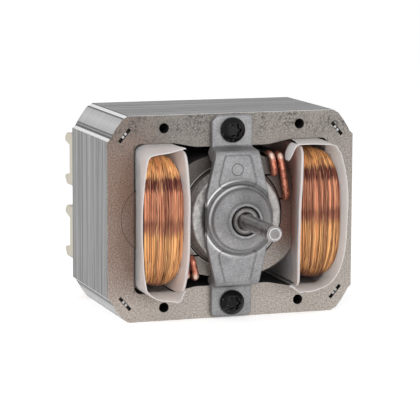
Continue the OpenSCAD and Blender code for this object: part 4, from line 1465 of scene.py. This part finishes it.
class MOTOR_OT_terminals(bpy.types.Operator):
    """Mould the terminal housings and plate their spades."""

    bl_idname = "motor.terminals"
    bl_label = "Terminals"

    def execute(self, context):
        cream = plain_finish("cream_nylon", tint("cream"), 0.45)
        tin = plain_finish("tinned_brass", paint(196, 192, 182), 0.3, 0.9)
        for level in ("upper", "lower"):
            housing = copy_of(f"{level}_housing_shell", f"{level}_terminal_housing", cream)
            soft = housing.modifiers.new("edge", "BEVEL")
            soft.width = 0.25 * MM
            soft.segments = 3
            soft.limit_method = "ANGLE"
            finished(applied(housing), "stator", "cream_nylon", f"{level}_terminal_housing")
            wear(f"{level}_terminals", tin)
        return {"FINISHED"}


def add_lamp(name, size, power, place, target=(0, 0.02, 0)):
    """Soft rectangular lamp that points at the motor."""
    lamp = bpy.data.lights.new(name, "AREA")
    lamp.shape = "RECTANGLE"
    lamp.size, lamp.size_y = size
    lamp.energy = power
    holder = bpy.data.objects.new(name, lamp)
    holder.location = place
    direction = Vector(target) - Vector(place)
    holder.rotation_euler = direction.to_track_quat("-Z", "Y").to_euler()
    bpy.context.scene.collection.objects.link(holder)


def add_camera(settings):
    """Camera of the photograph, which looks at the target from its distance."""
    turn, rise, roll = settings.azimuth, settings.elevation, settings.roll
    back = Vector((math.sin(turn) * math.cos(rise), -math.cos(turn) * math.cos(rise), math.sin(rise)))
    right = Vector((math.cos(turn), math.sin(turn), 0))
    up = back.cross(right)
    rolled_right = math.cos(roll) * right + math.sin(roll) * up
    rolled_up = back.cross(rolled_right)
    camera = bpy.data.cameras.new("camera")
    camera.sensor_width = 36
    camera.lens = settings.lens
    camera.clip_end = 50
    holder = bpy.data.objects.new("camera", camera)
    matrix = Matrix((rolled_right, rolled_up, back)).transposed().to_4x4()
    matrix.translation = Vector(settings.target) + settings.distance * back
    holder.matrix_world = matrix
    bpy.context.scene.collection.objects.link(holder)
    bpy.context.scene.camera = holder


def seen_directly(made):
    """1 for rays of the camera, of gloss and of transmission, and 0 for the light on the motor."""
    total = made.value("ShaderNodeLightPath", output="Is Camera Ray")
    for name in ("Is Glossy Ray", "Is Transmission Ray"):
        ray = made.value("ShaderNodeLightPath", output=name)
        total = made.math("ADD", total, ray, use_clamp=True)
    return total


def floor_finish():
    """White floor that keeps the motor's shadow, and that the camera and gloss see as white."""
    made = Finish("floor")
    made.shade(Base_Color=(0.9, 0.9, 0.9), Roughness=0.9, Specular_IOR_Level=0.0)
    made.shade(Emission_Color=(1, 1, 1), Emission_Strength=seen_directly(made) * 0.55)
    return made.material


def world_light():
    """Even light round the motor, brighter where it is seen directly."""
    world = bpy.data.worlds.new("studio")
    bpy.context.scene.world = world
    world.use_nodes = True
    made = Nodes(world.node_tree)
    even = made.tree.nodes["Background"]
    made.put(even.inputs["Strength"], 0.5)
    made.put(even.inputs["Color"], (1, 1, 1))
    bright = made.value("ShaderNodeBackground", {"Strength": 1.0})
    sources = {0: seen_directly(made), 1: Value(made, even.outputs[0]), 2: bright}
    blend = made.value("ShaderNodeMixShader", sources)
    made.put(made.tree.nodes["World Output"].inputs["Surface"], blend)


FLOOR_HALF = 6.0


class MOTOR_OT_stage(bpy.types.Operator):
    """Set up the floor, the soft light and the camera."""

    bl_idname = "motor.stage"
    bl_label = "Stage"

    def execute(self, context):
        shape = bmesh.new()
        corners = [(-1, -1), (1, -1), (1, 1), (-1, 1)]
        places = [(FLOOR_HALF * x, FLOOR_HALF * y, CAD_BOX[0].z) for x, y in corners]
        shape.faces.new([shape.verts.new(place) for place in places])
        mesh = bpy.data.meshes.new("floor")
        shape.to_mesh(mesh)
        shape.free()
        new_piece("floor", mesh, floor_finish())
        add_lamp("key", (0.5, 0.5), 2.0, (-0.3, -0.75, 0.6))
        add_lamp("side", (0.5, 0.4), 1.1, (-0.8, 0.05, 0.3))
        add_lamp("low", (0.6, 0.25), 1.8, (0.15, -0.8, 0.1))
        world_light()
        add_camera(context.scene.motor.stage)
        context.scene.view_settings.view_transform = "Standard"
        return {"FINISHED"}


STEPS = (
    MOTOR_OT_laminations,
    MOTOR_OT_windings,
    MOTOR_OT_bobbins,
    MOTOR_OT_films,
    MOTOR_OT_shading_rings,
    MOTOR_OT_brackets,
    MOTOR_OT_bearings,
    MOTOR_OT_rotor,
    MOTOR_OT_screws,
    MOTOR_OT_terminals,
    MOTOR_OT_stage,
)


class MOTOR_PT_panel(bpy.types.Panel):
    """Lists the steps that dress the motor."""

    bl_idname = "MOTOR_PT_panel"
    bl_label = "Fan Motor"
    bl_space_type = "VIEW_3D"
    bl_region_type = "UI"
    bl_category = "Motor"

    def draw(self, context):
        for step in STEPS:
            self.layout.operator(step.bl_idname)


SETTINGS = (
    WindingSettings,
    SheetSettings,
    CastingSettings,
    ColourSettings,
    StageSettings,
    MotorSettings,
)


def register():
    """Adds the settings, the steps and the panel to Blender."""
    for kind in (*SETTINGS, *STEPS, MOTOR_PT_panel):
        bpy.utils.register_class(kind)
    bpy.types.Scene.motor = PointerProperty(type=MotorSettings)


def unregister():
    """Takes them out again."""
    del bpy.types.Scene.motor
    for kind in (MOTOR_PT_panel, *reversed(STEPS), *reversed(SETTINGS)):
        bpy.utils.unregister_class(kind)


def main():
    """Dresses the motor step by step."""
    register()
    for step in STEPS:
        group, name = step.bl_idname.split(".")
        getattr(getattr(bpy.ops, group), name)()


if __name__ == "__main__":
    main()
